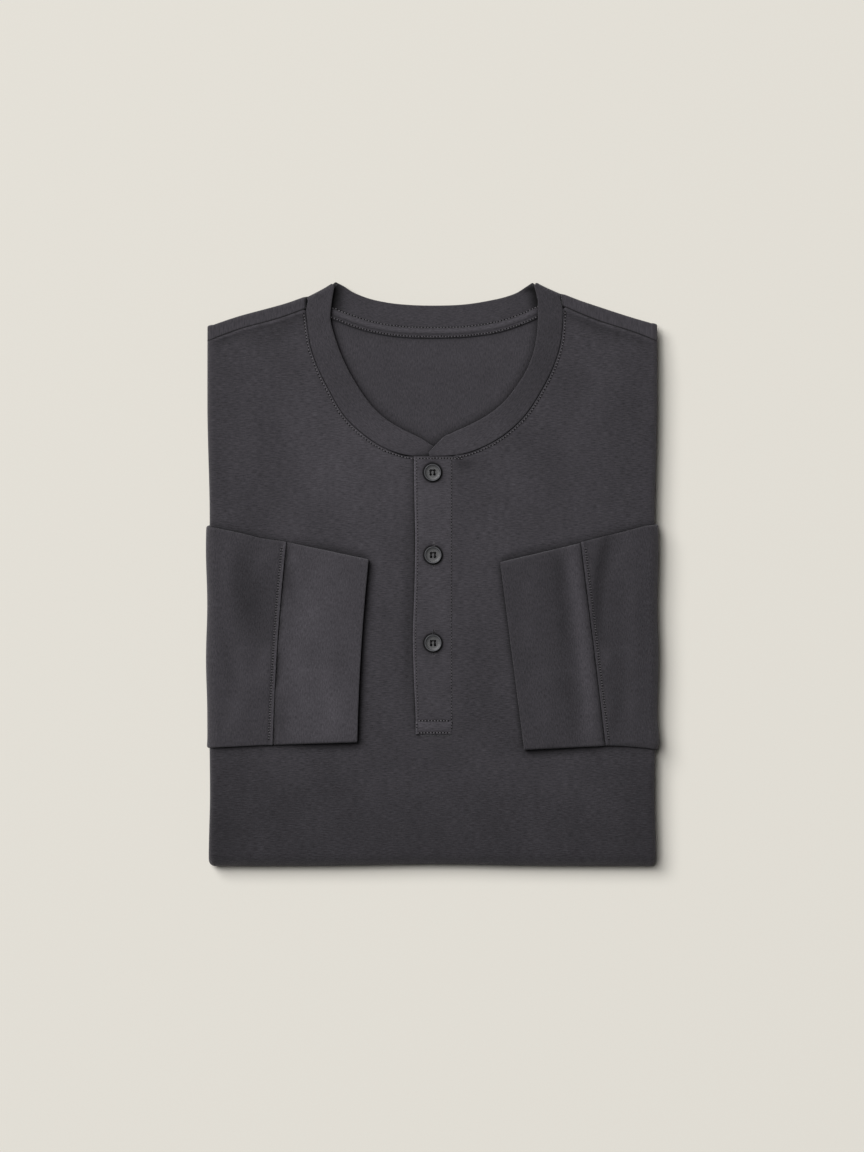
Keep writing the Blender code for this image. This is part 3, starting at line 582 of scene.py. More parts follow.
frontPanel = {
    "cut": (0.328, 0.705),  # what shows of it, laid flat
    "edgeCount": 5,  # rows of its rounded edge, and the distances of the close rows below it
    "edgeRows": (0.9, 1.3, 1.8, 2.4, 3.1, 4.0, 5.0, 6.2),
    "swell": 0.16,
    # middle x and y, half length, half width, turn, bow, height
    "creases": (
        (-101.0, 156.0, 19.0, 5.0, 20.0, 1.0, -0.70),
        (111.0, 157.0, 15.0, 4.5, -20.0, 1.0, -0.70),
        (19.0, 71.5, 7.0, 3.4, -8.0, 0.0, -0.70),
        (-17.0, -42.0, 36.0, 3.4, 90.0, 1.5, -0.55),
        (-18.0, 20.0, 26.0, 3.0, 88.0, 0.0, -0.30),
        (-70.0, 60.0, 60.0, 12.0, 62.0, 6.0, 0.35),
        (-45.0, 10.0, 70.0, 16.0, 70.0, -5.0, 0.30),
        (38.0, -70.0, 60.0, 14.0, 100.0, 6.0, -0.40),
        (60.0, 90.0, 50.0, 12.0, 130.0, 5.0, -0.30),
        (105.0, 110.0, 40.0, 9.0, 60.0, -4.0, 0.35),
        (10.0, -135.0, 60.0, 9.0, 8.0, 5.0, 0.30),
        (100.0, -145.0, 55.0, 8.0, 160.0, 5.0, 0.32),
        (-95.0, -150.0, 50.0, 9.0, 25.0, -6.0, -0.35),
        (-120.0, 70.0, 40.0, 8.0, 80.0, 3.0, 0.25),
    ),
    # painted light and shade: middle x and y, half width and height, amount
    "paintedShading": (
        (-50.0, 92.0, 50.0, 56.0, 0.28),
        (30.0, -16.0, 22.0, 60.0, 0.09),
        (-130.0, 52.0, 30.0, 34.0, -0.08),
        (30.0, 60.0, 70.0, 90.0, 0.08),
        (145.0, 60.0, 30.0, 120.0, -0.10),
        (0.0, -195.0, 400.0, 75.0, -0.28),
        (-140.0, -150.0, 26.0, 45.0, -0.15),
        (140.0, -150.0, 26.0, 45.0, -0.17),
        (20.0, 71.0, 7.0, 3.2, -0.30),
        (-15.6, -25.0, 3.0, 50.0, -0.22),
        (-16.0, 35.0, 2.6, 34.0, -0.12),
    ),
    "underCreases": (
        (-60.0, -90.0, 70.0, 10.0, 75.0, 6.0, 0.30),
        (45.0, 10.0, 80.0, 12.0, 100.0, -8.0, 0.35),
        (100.0, 90.0, 50.0, 9.0, 60.0, 4.0, 0.25),
        (-30.0, 95.0, 60.0, 10.0, 20.0, -5.0, 0.28),
    ),
}


def frontRelief(x, y):
    # creases and swell, flattened under the placket
    under = ease((np.abs(x + 0.85) - 11.5) / 5.0)
    under = np.where(y < placket["bottom"] - 2.0, 1.0, under)
    return (creases(frontPanel["creases"], x, y) + unevenness(x, y, 34.0, frontPanel["swell"], 3)) * under


def seamWelt(distance, high, deep, wide=1.4):
    # beside a seam the pressed allowance lifts a narrow welt, and past it the cloth dips: one bell less
    # another
    return high * bell(distance - wide, 0.64 * wide) - deep * bell(distance / wide - 3.3, 1.36)


def neckEdge(rows, shares, away):
    # plan line of the band's seamed edge, moved off it by `away`
    line = through([row[:2] for row in rows], shares)
    return line + planNormal(line) * away


def neckSeam(rows):
    # plan line of the band's seamed edge on one side of the front, without the crossing
    return through([row[:2] for row in rows[:9]], np.linspace(0.0, 1.0, 60))


neckWelt = (0.22, 0.20, 0.7)  # rise, dip and width beside the band's seam
shoulderWelt = (0.50, 0.46)  # rise and dip beside a shoulder's seam


def frontTops():
    # the top edge as one plan line from the left side to the right, with each point's inward direction, the
    # place below it at the slot's end, and its kind: -1 and 1 in a turned side, 0 on the flat, 2 in the slot
    slotLeft = placket["left"] + placket["over"]
    slotRight = placket["slotRight"]
    points, inward, kinds, steps = [], [], [], []

    def add(line, kind, step=0.0):
        # a stretch of the edge, whose inward direction is its normal on the flat and straight down elsewhere
        line = np.array(line, float).reshape(-1, 2)
        normal = planNormal(line) if kind == 0 and len(line) > 2 else np.tile((0.0, -1.0), (len(line), 1))
        points.append(line)
        inward.append(normal)
        kinds.append(np.full(len(line), kind))
        steps.append(np.broadcast_to(step, len(line)))

    turn = turnSteps()
    sideTop = overSide(shoulderLeft, turn) - seamGap["side"]
    add(np.stack([0.0 * turn, sideTop], axis=1), -1, turn)
    seam = onTheFlat(through(shoulderLeft, np.linspace(0.0, 1.0, 21))[:-1, :2])
    add(seam - (0.0, seamGap["shoulder"] / 2.0), 0)
    neckRows = [row[:2] for row in bandLeft[:9]] + [(slotLeft, placket["top"] + 0.5)]
    left = neckEdge(neckRows, np.linspace(0.0, 1.0, 52), seamGap["neck"])
    left[-1] = (slotLeft, placket["top"])
    add(left, 0)
    add([(x, placket["top"]) for x in np.linspace(slotLeft, slotRight, 8)[1:-1]], 2)
    add([(slotRight + d, placket["top"]) for d in (0.0, 0.03, 0.1, 0.25, 0.6)], 0)
    neckRows = [(slotRight, placket["top"] + 0.9)] + [row[:2] for row in bandRight[:9]][::-1]
    right = neckEdge(neckRows, np.linspace(0.0, 1.0, 52), seamGap["neck"])[1:]
    add(right, 0)
    seam = onTheFlat(through(shoulderRight, np.linspace(0.0, 1.0, 21))[:-1, :2])[::-1]
    add(seam - (0.0, seamGap["shoulder"] / 2.0), 0)
    sideTop = overSide(shoulderRight, turn[::-1]) - seamGap["side"]
    add(np.stack([0.0 * turn, sideTop], axis=1), 1, turn[::-1])
    points, inward, kinds, steps = (np.concatenate(part) for part in (points, inward, kinds, steps))
    below = np.zeros(len(points))
    flat = np.abs(kinds) != 1
    leftFlat = flat & (points[:, 0] < slotLeft + 0.01) & (kinds == 0)
    rightFlat = flat & (points[:, 0] > slotRight + 0.61) & (kinds == 0)
    below[leftFlat] = np.linspace(-139.0, slotLeft, leftFlat.sum())
    below[rightFlat] = np.linspace(slotRight + 2.5, 139.0, rightFlat.sum())
    near = flat & ~leftFlat & ~rightFlat
    below[near] = points[near, 0]
    return points, inward, kinds, steps, below


def makeFront():
    # rows run from the top edge down the front, round the bottom fold and up under the stack to the hem
    tops, inward, kinds, steps, below = frontTops()
    radius = ply["body"] / 2.0
    edge = np.concatenate([roundLines(radius, frontPanel["edgeCount"]), frontPanel["edgeRows"]])
    rows = [("upper", d, 0.0) for d in edge]
    rows += [("upper", edge[-1], t) for t in np.linspace(0.0, 1.0, 67)[1:]]
    seams = [through(line, np.linspace(0.0, 1.0, 40))[:, :2] for line in (shoulderLeft, shoulderRight)]
    rows += [("waist", y, 0.0) for y in np.linspace(placket["slotBottom"], body["foldY"], 27)[1:]]
    rows += [("bend", a, 0.0) for a in np.linspace(math.pi / 2.0, -math.pi / 2.0, 27)[1:]]
    rows += [("under", y, 0.0) for y in np.linspace(body["foldY"], body["hemY"], 61)[1:-1]]
    rows += [("under", body["hemY"] - d, 0.0) for d in roundLines(radius, 4)[::-1]]
    turned = np.abs(kinds) == 1
    side = np.where(kinds == 1, 1.0, -1.0)
    middle = np.zeros((len(rows), len(tops), 3))
    uv = np.zeros((len(rows), len(tops), 2))
    half = np.full((len(rows), len(tops)), radius)
    for i, (part, value, t) in enumerate(rows):
        if part == "upper":
            start = tops + inward * min(value, radius) - (0.0, max(value - radius, 0.0))
            y = start[:, 1] + (placket["slotBottom"] - start[:, 1]) * t
            x = start[:, 0] + (below - start[:, 0]) * (1.0 - (1.0 - t) ** 2)
            half[i] = roundHalf(value, radius)
        else:
            y = np.full(len(tops), body["foldY"] if part == "bend" else value)
            x = below.copy()
        depth = turnDepth(y, part in ("upper", "waist"))
        inside, deep = turnedSide(np.where(turned, steps, 1.0), depth)
        x = np.where(turned, side * (sideHalf(y) - inside), x)
        deep = np.where(turned, deep, radius)
        middle[i, :, 0] = x
        if part in ("upper", "waist"):
            fade = ease((sideHalf(y) - np.abs(x)) / 14.0)
            middle[i, :, 1] = y
            fade = np.where(turned, 0.0, fade)
            middle[i, :, 2] = frontHeight(x, y) - deep
            middle[i, :, 2] += frontRelief(x, y) * fade * ease((y - body["foldY"]) / 12.0)
            uv[i, :, 1] = -y
        elif part == "bend":
            reach = body["stack"] / 2.0 - deep
            middle[i, :, 1] = body["foldY"] - reach * math.cos(value)
            middle[i, :, 2] = body["stack"] / 2.0 + reach * math.sin(value)
            uv[i, :, 1] = -body["foldY"] + (math.pi / 2.0 - value) * (body["stack"] / 2.0 - radius)
        else:
            lift = creases(frontPanel["underCreases"], x, y) * ease((y - body["foldY"]) / 20.0)
            lift = lift * np.where(turned, 0.0, ease((sideHalf(y) - np.abs(x)) / 14.0))
            middle[i, :, 1] = y
            middle[i, :, 2] = deep + lift
            half[i] = np.minimum(half[i], roundHalf(body["hemY"] - y, radius))
            uv[i, :, 1] = -2.0 * body["foldY"] + math.pi * (body["stack"] / 2.0 - radius) + y
        arc = math.pi * (depth - ply["body"]) / 2.0 * (1.0 - np.clip(steps, 0.0, 1.0))
        arc = arc + np.maximum(-steps, 0.0) * body["lip"]
        uv[i, :, 0] = np.where(turned, side * (sideHalf(y) - depth / 2.0 + arc), x)
    x, y = middle[:, :, 0], middle[:, :, 1]
    top = np.arange(len(rows)) < len(edge) + 14
    toSeam = np.minimum(*(nearest(x[top], y[top], line) for line in seams))
    toNeck = np.minimum(*(nearest(x[top], y[top], neckSeam(rows)) for rows in (bandLeft, bandRight)))
    welts = np.zeros(x.shape)
    welts[top] = seamWelt(toSeam, *shoulderWelt) * np.where(turned, 0.0, 1.0) + seamWelt(toNeck, *neckWelt)
    middle[:, :, 2] += welts
    # painted light and shade on the top face: its spots, troughs darker and ridges and welts lighter
    onTop = middle[:, :, 2] > 8.0
    tone = paintedShading(frontPanel["paintedShading"], x, y) * np.where(onTop, paintedReliefShade(frontRelief(x, y) + 1.2 * welts), 1.0)
    lipEnd = np.where(turned, (steps + 1.0) * body["lip"], 99.0)
    half = np.minimum(half, roundHalf(lipEnd, radius)[None, :])
    slotSide = np.where((kinds == 0) & (below > 0.0), below - placket["slotRight"], 99.0)
    inSlot = np.array([row[0] == "upper" for row in rows])[:, None]
    half = np.where(inSlot, np.minimum(half, roundHalf(slotSide, radius, 0.1)[None, :]), half)
    keep = np.ones((len(rows) - 1, len(tops) - 1), bool)
    slot = (kinds[:-1] == 2) | (kinds[1:] == 2)
    lastUpper = inSlot.ravel().sum() - 1
    keep[:lastUpper, slot] = False
    mesh = shellMesh("front", middle, half, uv, keep, tone=tone)
    return piece("front", mesh, bodyKnit, ["front_panel"])


backPanel = {
    "cut": (0.300, 0.350),
    "creases": (
        (-20.0, 120.0, 40.0, 8.0, 95.0, 5.0, -0.35),
        (25.0, 130.0, 40.0, 9.0, 85.0, -4.0, 0.30),
        (48.0, 140.0, 30.0, 7.0, 70.0, 3.0, -0.30),
    ),
    # painted light: middle x and y, half width and height, amount
    "paintedShading": ((0.0, 120.0, 80.0, 60.0, 0.04),),
}


def downTheBack(topY, share):
    # y of a row of the ply below the front: 1 is where the neck end starts to hang, 2 the bottom fold
    upper = topY + (body["droopFrom"] - topY) * np.minimum(share, 1.0)
    return upper + (body["backEndY"] - body["droopFrom"]) * np.maximum(share - 1.0, 0.0)


def makeBack():
    # strips rolled over the shoulders to their seams, and the ply below the front, which shows inside the
    # neck: a strip is straight, a roll is a half circle, and the ply runs down from it
    radius = body["backDrop"] / 2.0
    halfPly = ply["body"] / 2.0
    turn = np.linspace(0.0, 1.0, 13)
    left = onTheFlat(through(shoulderLeft, np.linspace(0.0, 1.0, 24)))
    right = onTheFlat(through(shoulderRight, np.linspace(0.0, 1.0, 24)))[::-1]
    neck = neckEdge(bandBack, np.linspace(0.0, 1.0, 64), seamGap["tape"])
    none = np.zeros(13)
    x = np.concatenate([none, left[:, 0], neck[:, 0], right[:, 0], none])
    seam = np.concatenate([none, left[:, 1], neck[:, 1], right[:, 1], none])
    fold = np.concatenate([none, left[:, 2], neck[:, 1], right[:, 2], none])
    kind = np.concatenate([none - 1, 0 * left[:, 0], np.full(64, 2), 0 * right[:, 0], none + 1])
    steps = np.concatenate([turn, np.ones(len(x) - 26), turn[::-1]])
    ends = overSide(shoulderLeft, turn), overSide(shoulderRight, turn[::-1])
    nearSide = np.concatenate([ends[0], np.zeros(len(x) - 26), ends[1]])
    turned, inNeck = np.abs(kind) == 1, kind == 2
    side = np.where(turned, np.where(kind == 1, 1.0, -1.0), np.sign(x))
    rows = [("strip", d, 0.0) for d in roundLines(halfPly)]
    rows += [("strip", halfPly, t) for t in np.linspace(0.0, 1.0, 7)[1:]]
    rows += [("roll", a, 0.0) for a in np.linspace(math.pi / 2.0, -math.pi / 2.0, 13)[1:]]
    rows += [("ply", t, 0.0) for t in np.linspace(0.0, 1.0, 19)[1:]]
    rows += [("ply", 1.0 + t, 0.0) for t in np.linspace(0.0, 1.0, 71)[1:]]
    lastRoll = max(k for k, row in enumerate(rows) if row[0] == "roll")
    centreY = fold - radius - halfPly
    centreZ = baseHeight(centreY) - halfPly - radius
    middle = np.zeros((len(rows), len(x), 3))
    uv = np.zeros((len(rows), len(x), 2))
    half = np.full((len(rows), len(x)), halfPly)
    across = side * np.minimum(np.abs(x), sideHalf(seam) - body["turnShallow"] / 2.0)
    for i, (part, value, t) in enumerate(rows):
        if part == "strip":
            near = seam + seamGap["shoulder"] / 2.0 + value
            y = near + (centreY - near) * t
            place = np.stack([across, y, baseHeight(y) - halfPly], axis=1)
            inside, deep = turnedSide(steps, body["turnShallow"])
            far = np.where(side < 0.0, centreY[13], centreY[-14])
            near = nearSide + seamGap["side"] + value
            turnY = near + (far - near) * t
            around = np.stack([side * (sideHalf(turnY) - inside), turnY, baseHeight(turnY) - deep], axis=1)
            place = np.where(turned[:, None], around, place)
            half[i] = roundHalf(value, halfPly)
            run = (1.0 - t) * 9.0
        elif part == "roll":
            rollY, rollZ = centreY + radius * math.cos(value), centreZ + radius * math.sin(value)
            place = np.stack([across, rollY, rollZ], axis=1)
            # a turned side closes over its end: its half circle shrinks to its centre as it runs on
            close = (math.pi / 2.0 - value) / 2.0
            centre = body["turnShallow"] / 2.0
            inside, deep = turnedSide(steps, body["turnShallow"])
            capY = np.where(side < 0.0, centreY[13], centreY[-14])
            capX = side * (sideHalf(capY) - centre - (inside - centre) * math.cos(close))
            capZ = baseHeight(capY) - centre - (deep - centre) * math.cos(close)
            cap = np.stack([capX, capY + (radius - 0.5) * math.sin(close), capZ], axis=1)
            place = np.where(turned[:, None], cap, place)
            run = -radius * (math.pi / 2.0 - value)
        else:
            y = downTheBack(np.where(inNeck, seam, centreY), value)
            z = baseHeight(y) - body["backDrop"] - halfPly
            plyX = np.where(inNeck, x, side * np.minimum(np.abs(across), 142.0 - value))
            fade = ease((seam - 8.0 - y) / 10.0)
            z = z + creases(backPanel["creases"], plyX, y) * fade * ease((y - 60.0) / 25.0)
            place = np.stack([plyX, y, z], axis=1)
            run = 0.0
        if i == lastRoll:
            neckZ = baseHeight(seam) - body["backDrop"] - halfPly
            place = np.where(inNeck[:, None], np.stack([x, seam, neckZ], axis=1), place)
        middle[i] = place
        uv[i, :, 0] = place[:, 1] + run
        uv[i, :, 1] = place[:, 0]
    keep = np.ones((len(rows) - 1, len(x) - 1), bool)
    neckCells = inNeck[:-1] | inNeck[1:]
    keep[:lastRoll, neckCells] = False
    turnCells = turned[:-1] | turned[1:]
    keep[lastRoll:, turnCells] = False
    # painted light on the ply that shows inside the neck
    tone = paintedShading(backPanel["paintedShading"], middle[:, :, 0], middle[:, :, 1])
    mesh = shellMesh("back", middle, half, uv, keep, tone=tone)
    return piece("back", mesh, backKnit, ["back_panel"])


hiddenLayers = {
    # height, half width at the side, y at the neck end: a row for the bottom and top of each layered edge
    "edges": (
        (1.4, 140.0, 145.5), (3.2, 141.0, 146.5), (3.3, 137.0, 141.0), (3.7, 137.0, 141.0),
        (3.8, 140.5, 147.0), (5.5, 140.0, 146.0), (5.9, 129.5, 140.5), (6.3, 129.5, 140.5),
        (6.4, 129.8, 146.5), (8.0, 129.8, 146.0), (8.2, 126.0, 140.0), (8.6, 126.0, 140.0),
        (8.8, 129.8, 149.0), (10.5, 129.6, 148.0), (10.6, 126.0, 137.0), (11.6, 126.0, 137.0),
        (11.7, 139.5, 137.0), (12.5, 139.0, 134.0),
    ),
    "corner": 9.0,
}


def makeHidden():
    # a closed stack of outlines: every second step between two rows of the table bulges by a quarter wave
    table = np.array(hiddenLayers["edges"])
    rings = []
    for first, last in zip(table[:-1], table[1:]):
        thick = last[0] - first[0] > 1.0
        for t in (np.linspace(0.0, 1.0, 9)[:-1] if thick else (0.0,)):
            ring = first + (last - first) * t
            if thick:
                ring[1:] -= 0.7 * (1.0 - math.sin(math.pi * t))
            rings.append(ring)
    rings.append(table[-1])
    turn = np.linspace(0.0, math.pi / 2.0, 9)
    inside = body["stack"] / 2.0 - ply["body"] - gap - 0.2
    points = []
    for z, sideX, neckY in rings:
        foldY = body["foldY"] - math.sqrt(max(inside**2 - (z - body["stack"] / 2.0) ** 2, 0.0))
        for quarter, (signX, signY) in enumerate(((1, 1), (-1, 1), (-1, -1), (1, -1))):
            corner = hiddenLayers["corner"] if signY > 0 else 2.0
            centreX = signX * (sideX - corner)
            centreY = neckY - corner if signY > 0 else foldY + corner
            angle = turn + quarter * math.pi / 2.0
            arc = [centreX + corner * np.cos(angle), centreY + corner * np.sin(angle), np.full(9, z)]
            points.append(np.stack(arc, axis=1))
    points = np.concatenate(points)
    size, count = 36, len(rings)
    faces = ringFaces(count, size, flip=True).tolist()
    faces += [list(range(size))[::-1], [(count - 1) * size + n for n in range(size)]]
    mesh = bpy.data.meshes.new("hiddenLayers")
    mesh.from_pydata((points * mm).tolist(), [], faces)
    loops = np.zeros(len(mesh.loops), int)
    mesh.loops.foreach_get("vertex_index", loops)
    place = points[loops]
    writeCloth(mesh, np.stack([place[:, 0] + place[:, 1], place[:, 2]], axis=1))
    mesh.shade_smooth()
    mesh.set_sharp_from_angle(angle=math.radians(50.0))
    return piece("hiddenLayers", mesh, backKnit, ["hidden_layers"])


band = {
    "cut": (0.0166, 0.466),
    "sink": 0.35,
    "backSink": 3.75,
    "foldLeft": ((-83.3, 180.5), (-66.3, 189.6)),  # its fold at the shoulder, seamed edge to free edge
    "foldRight": ((83.3, 182.6), (66.2, 190.2)),
    "foldSeam": 1.7,  # radius of the fold at the seamed edge, and at the free edge
    "foldFree": 1.8,
    "foldSag": 0.5,  # how far the middle of the fold hangs in
    "foldLift": 1.5,
    "seamThin": 0.75,  # share of its thickness at the seamed edge
    # painted light and shade: middle x and y, half width and height, amount
    "paintedShading": (
        (-10.0, 88.0, 60.0, 22.0, 0.26),
        (75.0, 150.0, 25.0, 50.0, -0.17),
        (0.0, 170.0, 70.0, 12.0, 0.06),
    ),
    # painted shadow on the back band behind the two peaks, and in the tuck beside the right one
    "peakShadows": (
        (-65.5, 182.0, 6.0, 17.0, -1.05),
        (68.0, 181.0, 5.0, 12.0, -1.0),
        (63.0, 185.4, 5.5, 1.6, -0.95),
    ),
    "swell": 0.10,
}


tape = {
    "width": 6.6,
    "long": 165.0,
    "sink": 0.35,  # how deep its seamed edge lies
    # painted light and shade across it: the light ridge, the dark furrow and the light edge: middle, width,
    # amount
    "paintedShading": ((1.9, 1.4, 0.40), (4.1, 0.6, -0.36), (5.3, 0.6, 0.10)),
}


def bandRun(rows, shares, w, back=False):
    # the band along its rows: from the seamed edge at w = 0 straight across to the free edge at w = 1
    table = through(rows, shares)[:, :, None]
    x = table[:, 0] + (table[:, 2] - table[:, 0]) * w
    y = table[:, 1] + (table[:, 3] - table[:, 1]) * w
    z = baseHeight(y) - (band["backSink"] if back else band["sink"]) + table[:, 4] + table[:, 5] * w
    return np.stack([x, y, z], axis=2)


def bandFold(fold, w):
    # the bend over a shoulder, from the front's face round to the back's: a half turn whose radius grows as
    # w^1.5, and whose middle hangs in by 4 w (1 - w) times the sag
    seam, free = np.array(fold)
    along = (free - seam) / np.linalg.norm(free - seam)
    outward = np.array([-along[1], along[0]]) * math.copysign(1.0, along[0])
    radius = band["foldSeam"] + (band["foldFree"] - band["foldSeam"]) * w**1.5
    inset = radius + ply["band"] / 2.0 + 4.0 * band["foldSag"] * w * (1.0 - w)
    place = seam + (free - seam) * w[:, None] - outward * inset[:, None]
    top = baseHeight(place[:, 1]) - band["sink"] + band["foldLift"] * w
    turn = np.linspace(math.pi / 2.0, -math.pi / 2.0, 15)[:, None]
    plan = place + outward * (radius * np.cos(turn))[:, :, None]
    return np.concatenate([plan, (top - radius + radius * np.sin(turn))[:, :, None]], axis=2)


def makeBand():
    # one strip: the left run reversed, its bend, the back run, the other bend reversed, the right run
    halfBand = ply["band"] / 2.0
    w = between(16.0, 1.1, halfBand, halfBand) / 16.0
    shares = between(190.0, 2.4, last=halfBand) / 190.0
    left = bandRun(bandLeft, shares, w)[::-1]
    back = bandRun(bandBack, np.linspace(0.0, 1.0, 60), w, True)
    right = bandRun(bandRight, shares, w)
    over = bandFold(band["foldLeft"], w), bandFold(band["foldRight"], w)[::-1]
    middle = np.concatenate([left, over[0], back, over[1], right])
    run = lengths(middle[:, len(w) // 2])
    x, y = middle[:, :, 0], middle[:, :, 1]
    across = w * 16.0
    middle[:, :, 2] += unevenness(run[:, None], across[None, :], 13.0, band["swell"], 12)
    half = np.minimum(roundHalf(across, halfBand), roundHalf(16.0 - across, halfBand))
    half = half * (band["seamThin"] + (1.0 - band["seamThin"]) * ease(across / 7.0))
    ends = np.minimum(roundHalf(run, halfBand), roundHalf(run[-1] - run, halfBand)) / halfBand
    uv = clothPlaces(run[:, None], across[None, :])
    # painted light and shade on the band, and painted shadow on the back band behind the peaks
    behind = middle[:, :, 2] < baseHeight(y) - 1.8
    tone = paintedShading(band["paintedShading"], x, y) * np.where(behind, np.maximum(paintedShading(band["peakShadows"], x, y), 0.16), 1.0)
    mesh = shellMesh("neckbandRibbon", middle, half[None, :] * ends[:, None], uv, tone=tone)
    return piece("neckbandRibbon", mesh, bandKnit, ["neckband"])


def tapeTop(y):
    # height of the tape's face: the back's inner face, the gap and the tape
    return baseHeight(y) - body["backDrop"] + gap + ply["tape"]


def makeTape():
    # a strip over the back neck seam: lines beside the band's seamed edge, out to the tape's width
    radius, width = ply["tape"] / 2.0, tape["width"]
    seam = through([row[:2] for row in bandBack], between(tape["long"], 2.2, radius, radius) / tape["long"])
    normal = planNormal(seam)
    out = between(width, 0.4, radius, radius)
    plan = seam[None] + normal[None] * (seamGap["tape"] + out)[:, None, None]
    sunk = tape["sink"] * (1.0 - ease(out / 2.5))[:, None]
    z = tapeTop(plan[:, :, 1]) - radius - sunk + unevenness(plan[:, :, 0], plan[:, :, 1], 9.0, 0.05, 5)
    run = lengths(seam)
    half = np.minimum(roundHalf(out, radius), roundHalf(width - out, radius))[:, None]
    half = np.minimum(half, np.minimum(roundHalf(run, radius), roundHalf(run[-1] - run, radius))[None, :])
    uv = clothPlaces(run[None, :], out[:, None])
    # painted light on the ridge and edge, and painted shade in the furrow
    tone = 1.0
    for middle, wide, amount in tape["paintedShading"]:
        tone = tone + amount * bell(out - middle, wide)
    tone = tone[:, None] + 0.0 * z
    mesh = shellMesh("neckTape", np.concatenate([plan, z[:, :, None]], axis=2), half, uv, tone=tone)
    return piece("neckTape", mesh, bandKnit, ["neck_tape"])


placketLook = {
    "cut": (0.0244, 0.1806),
    "underCut": (0.0220, 0.1795),
    # painted light and shade: middle x and y, half width and height, amount
    "paintedShading": ((0.0, 50.0, 40.0, 60.0, 0.27), (0.0, -40.0, 40.0, 60.0, 0.08), (0.0, -99.0, 40.0, 3.6, 0.10)),
    # how far the free edge wanders: y, distance
    "edge": (
        (-104.0, 0.7), (-95.0, 0.8), (-70.0, -0.2), (-42.0, -1.0),
        (-10.0, 0.0), (25.0, 0.5), (50.0, 0.0), (77.0, -0.3),
    ),
    "fall": 11.0,  # it comes down to the front's level over this much of its lower end
    "welt": 0.22,
    "furrow": 0.12,
    "edgeHighlight": 0.45,  # a painted highlight along its free edge
    "ring": (5.9, 0.72, 0.90),  # the painted shadow round a button: radius, width, amount
    # the stitched box at its lower end, with painted light on its puffs and painted shade at its stitch
    # lines: middle, width and amount of each darker or lighter stripe
    "box": (
        (-94.6, 0.55, -0.30), (-96.2, 1.0, 0.26), (-98.8, 2.6, 0.20),
        (-102.3, 0.55, -0.26), (-103.6, 0.5, 0.30),
    ),
    "creases": (
        (-8.0, 40.0, 30.0, 3.0, 90.0, 0.0, 0.18),
        (6.0, 30.0, 26.0, 4.0, 84.0, 0.0, -0.16),
        (-2.0, -75.0, 20.0, 5.0, 80.0, 2.0, 0.18),
        (4.0, -20.0, 22.0, 4.0, 95.0, 0.0, 0.14),
        (-1.0, -99.0, 16.0, 2.2, 0.0, 0.0, 0.34),
    ),
}


def freeEdge(y):
    # the free edge's wander, a smooth line through its table
    rows = np.array(placketLook["edge"])
    slope = np.gradient(rows[:, 1], rows[:, 0])
    k = np.clip(np.searchsorted(rows[:, 0], y, side="right") - 1, 0, len(rows) - 2)
    span = rows[k + 1, 0] - rows[k, 0]
    return cubic(rows[:, 1], slope, k, span, np.clip((y - rows[k, 0]) / span, 0.0, 1.0))


def placketRelief(x, y):
    # creases and swell, which fade at both long edges, plus the welt, less the furrows
    fromEdge = x - placket["left"] - freeEdge(y)
    edge = ease(np.minimum(fromEdge, placket["right"] - x) / 3.0)
    soft = (creases(placketLook["creases"], x, y) + unevenness(x, y, 12.0, 0.07, 8)) * edge
    # the welt runs along the free edge, and a furrow under each row of stitches
    welt = placketLook["welt"] * bell(fromEdge - 0.8, 0.7)
    furrow = placketLook["furrow"] * bell(y + 95.0, 0.8) + placketLook["furrow"] * bell(fromEdge - 1.8, 0.6)
    return soft + welt - furrow


def placketTop(x, y):
    # its face, which comes down to the front's over its lower end
    rise = 0.10 + 0.90 * ease((y - placket["bottom"] - 0.5) / placketLook["fall"])
    return body["stack"] + (gap + ply["placket"]) * rise + placketRelief(x, y)


def flatPiece(name, left, right, bottom, top, wall, topAt, material, stands, wander=None):
    # a flat rectangle of cloth, its upper face given by topAt(x, y): rounded on the left, square elsewhere
    radius = wall / 2.0
    square = np.array([0.0, 0.02, 0.08])
    across = np.concatenate([between(right - left - 0.08, 0.55, radius), right - left - square[::-1][1:]])
    tall = top - bottom
    fine = 12.0  # its lowest rows are closer, for the box
    rows = between(tall - fine, 0.8)[1:], tall - fine + between(fine, 0.4)[1:-1]
    down = np.concatenate([square, *rows, tall - square[::-1]])
    x, y = np.meshgrid(left + across, top - down)
    if wander is not None:
        x = x + wander(y) * ease((right - x) / (right - left))
    z = topAt(x, y) - radius
    half = np.minimum(roundHalf(across, radius), roundHalf(right - left - across, radius, 0.08))[None, :]
    ends = np.minimum(roundHalf(down, radius, 0.08), roundHalf(top - bottom - down, radius, 0.08))
    half = np.minimum(half, ends[:, None])
    uv = np.stack([x, -y], axis=2)
    # painted light and shade: its spots, darker furrows and a lighter welt
    tone = paintedShading(placketLook["paintedShading"], x, y) * paintedReliefShade(placketRelief(x, y))
    # painted light on the box's puffs and painted shade at its stitch lines
    if wander is not None:
        for middle, wide, amount in placketLook["box"]:
            tone = tone + amount * bell(y - middle, wide)
    # painted highlight along the free edge
    tone = tone * (1.0 + placketLook["edgeHighlight"] * bell(across - 0.35, 0.5))[None, :]
    # painted shadow round each button
    ring, wide, amount = placketLook["ring"]
    for midX, midY in buttons["places"].values():
        tone = tone * (1.0 - amount * bell(np.hypot(x - midX, y - midY) - ring, wide, 4))
    mesh = shellMesh(name, np.stack([x, y, z], axis=2), half, uv, tone=tone)
    return piece(name, mesh, material, stands)


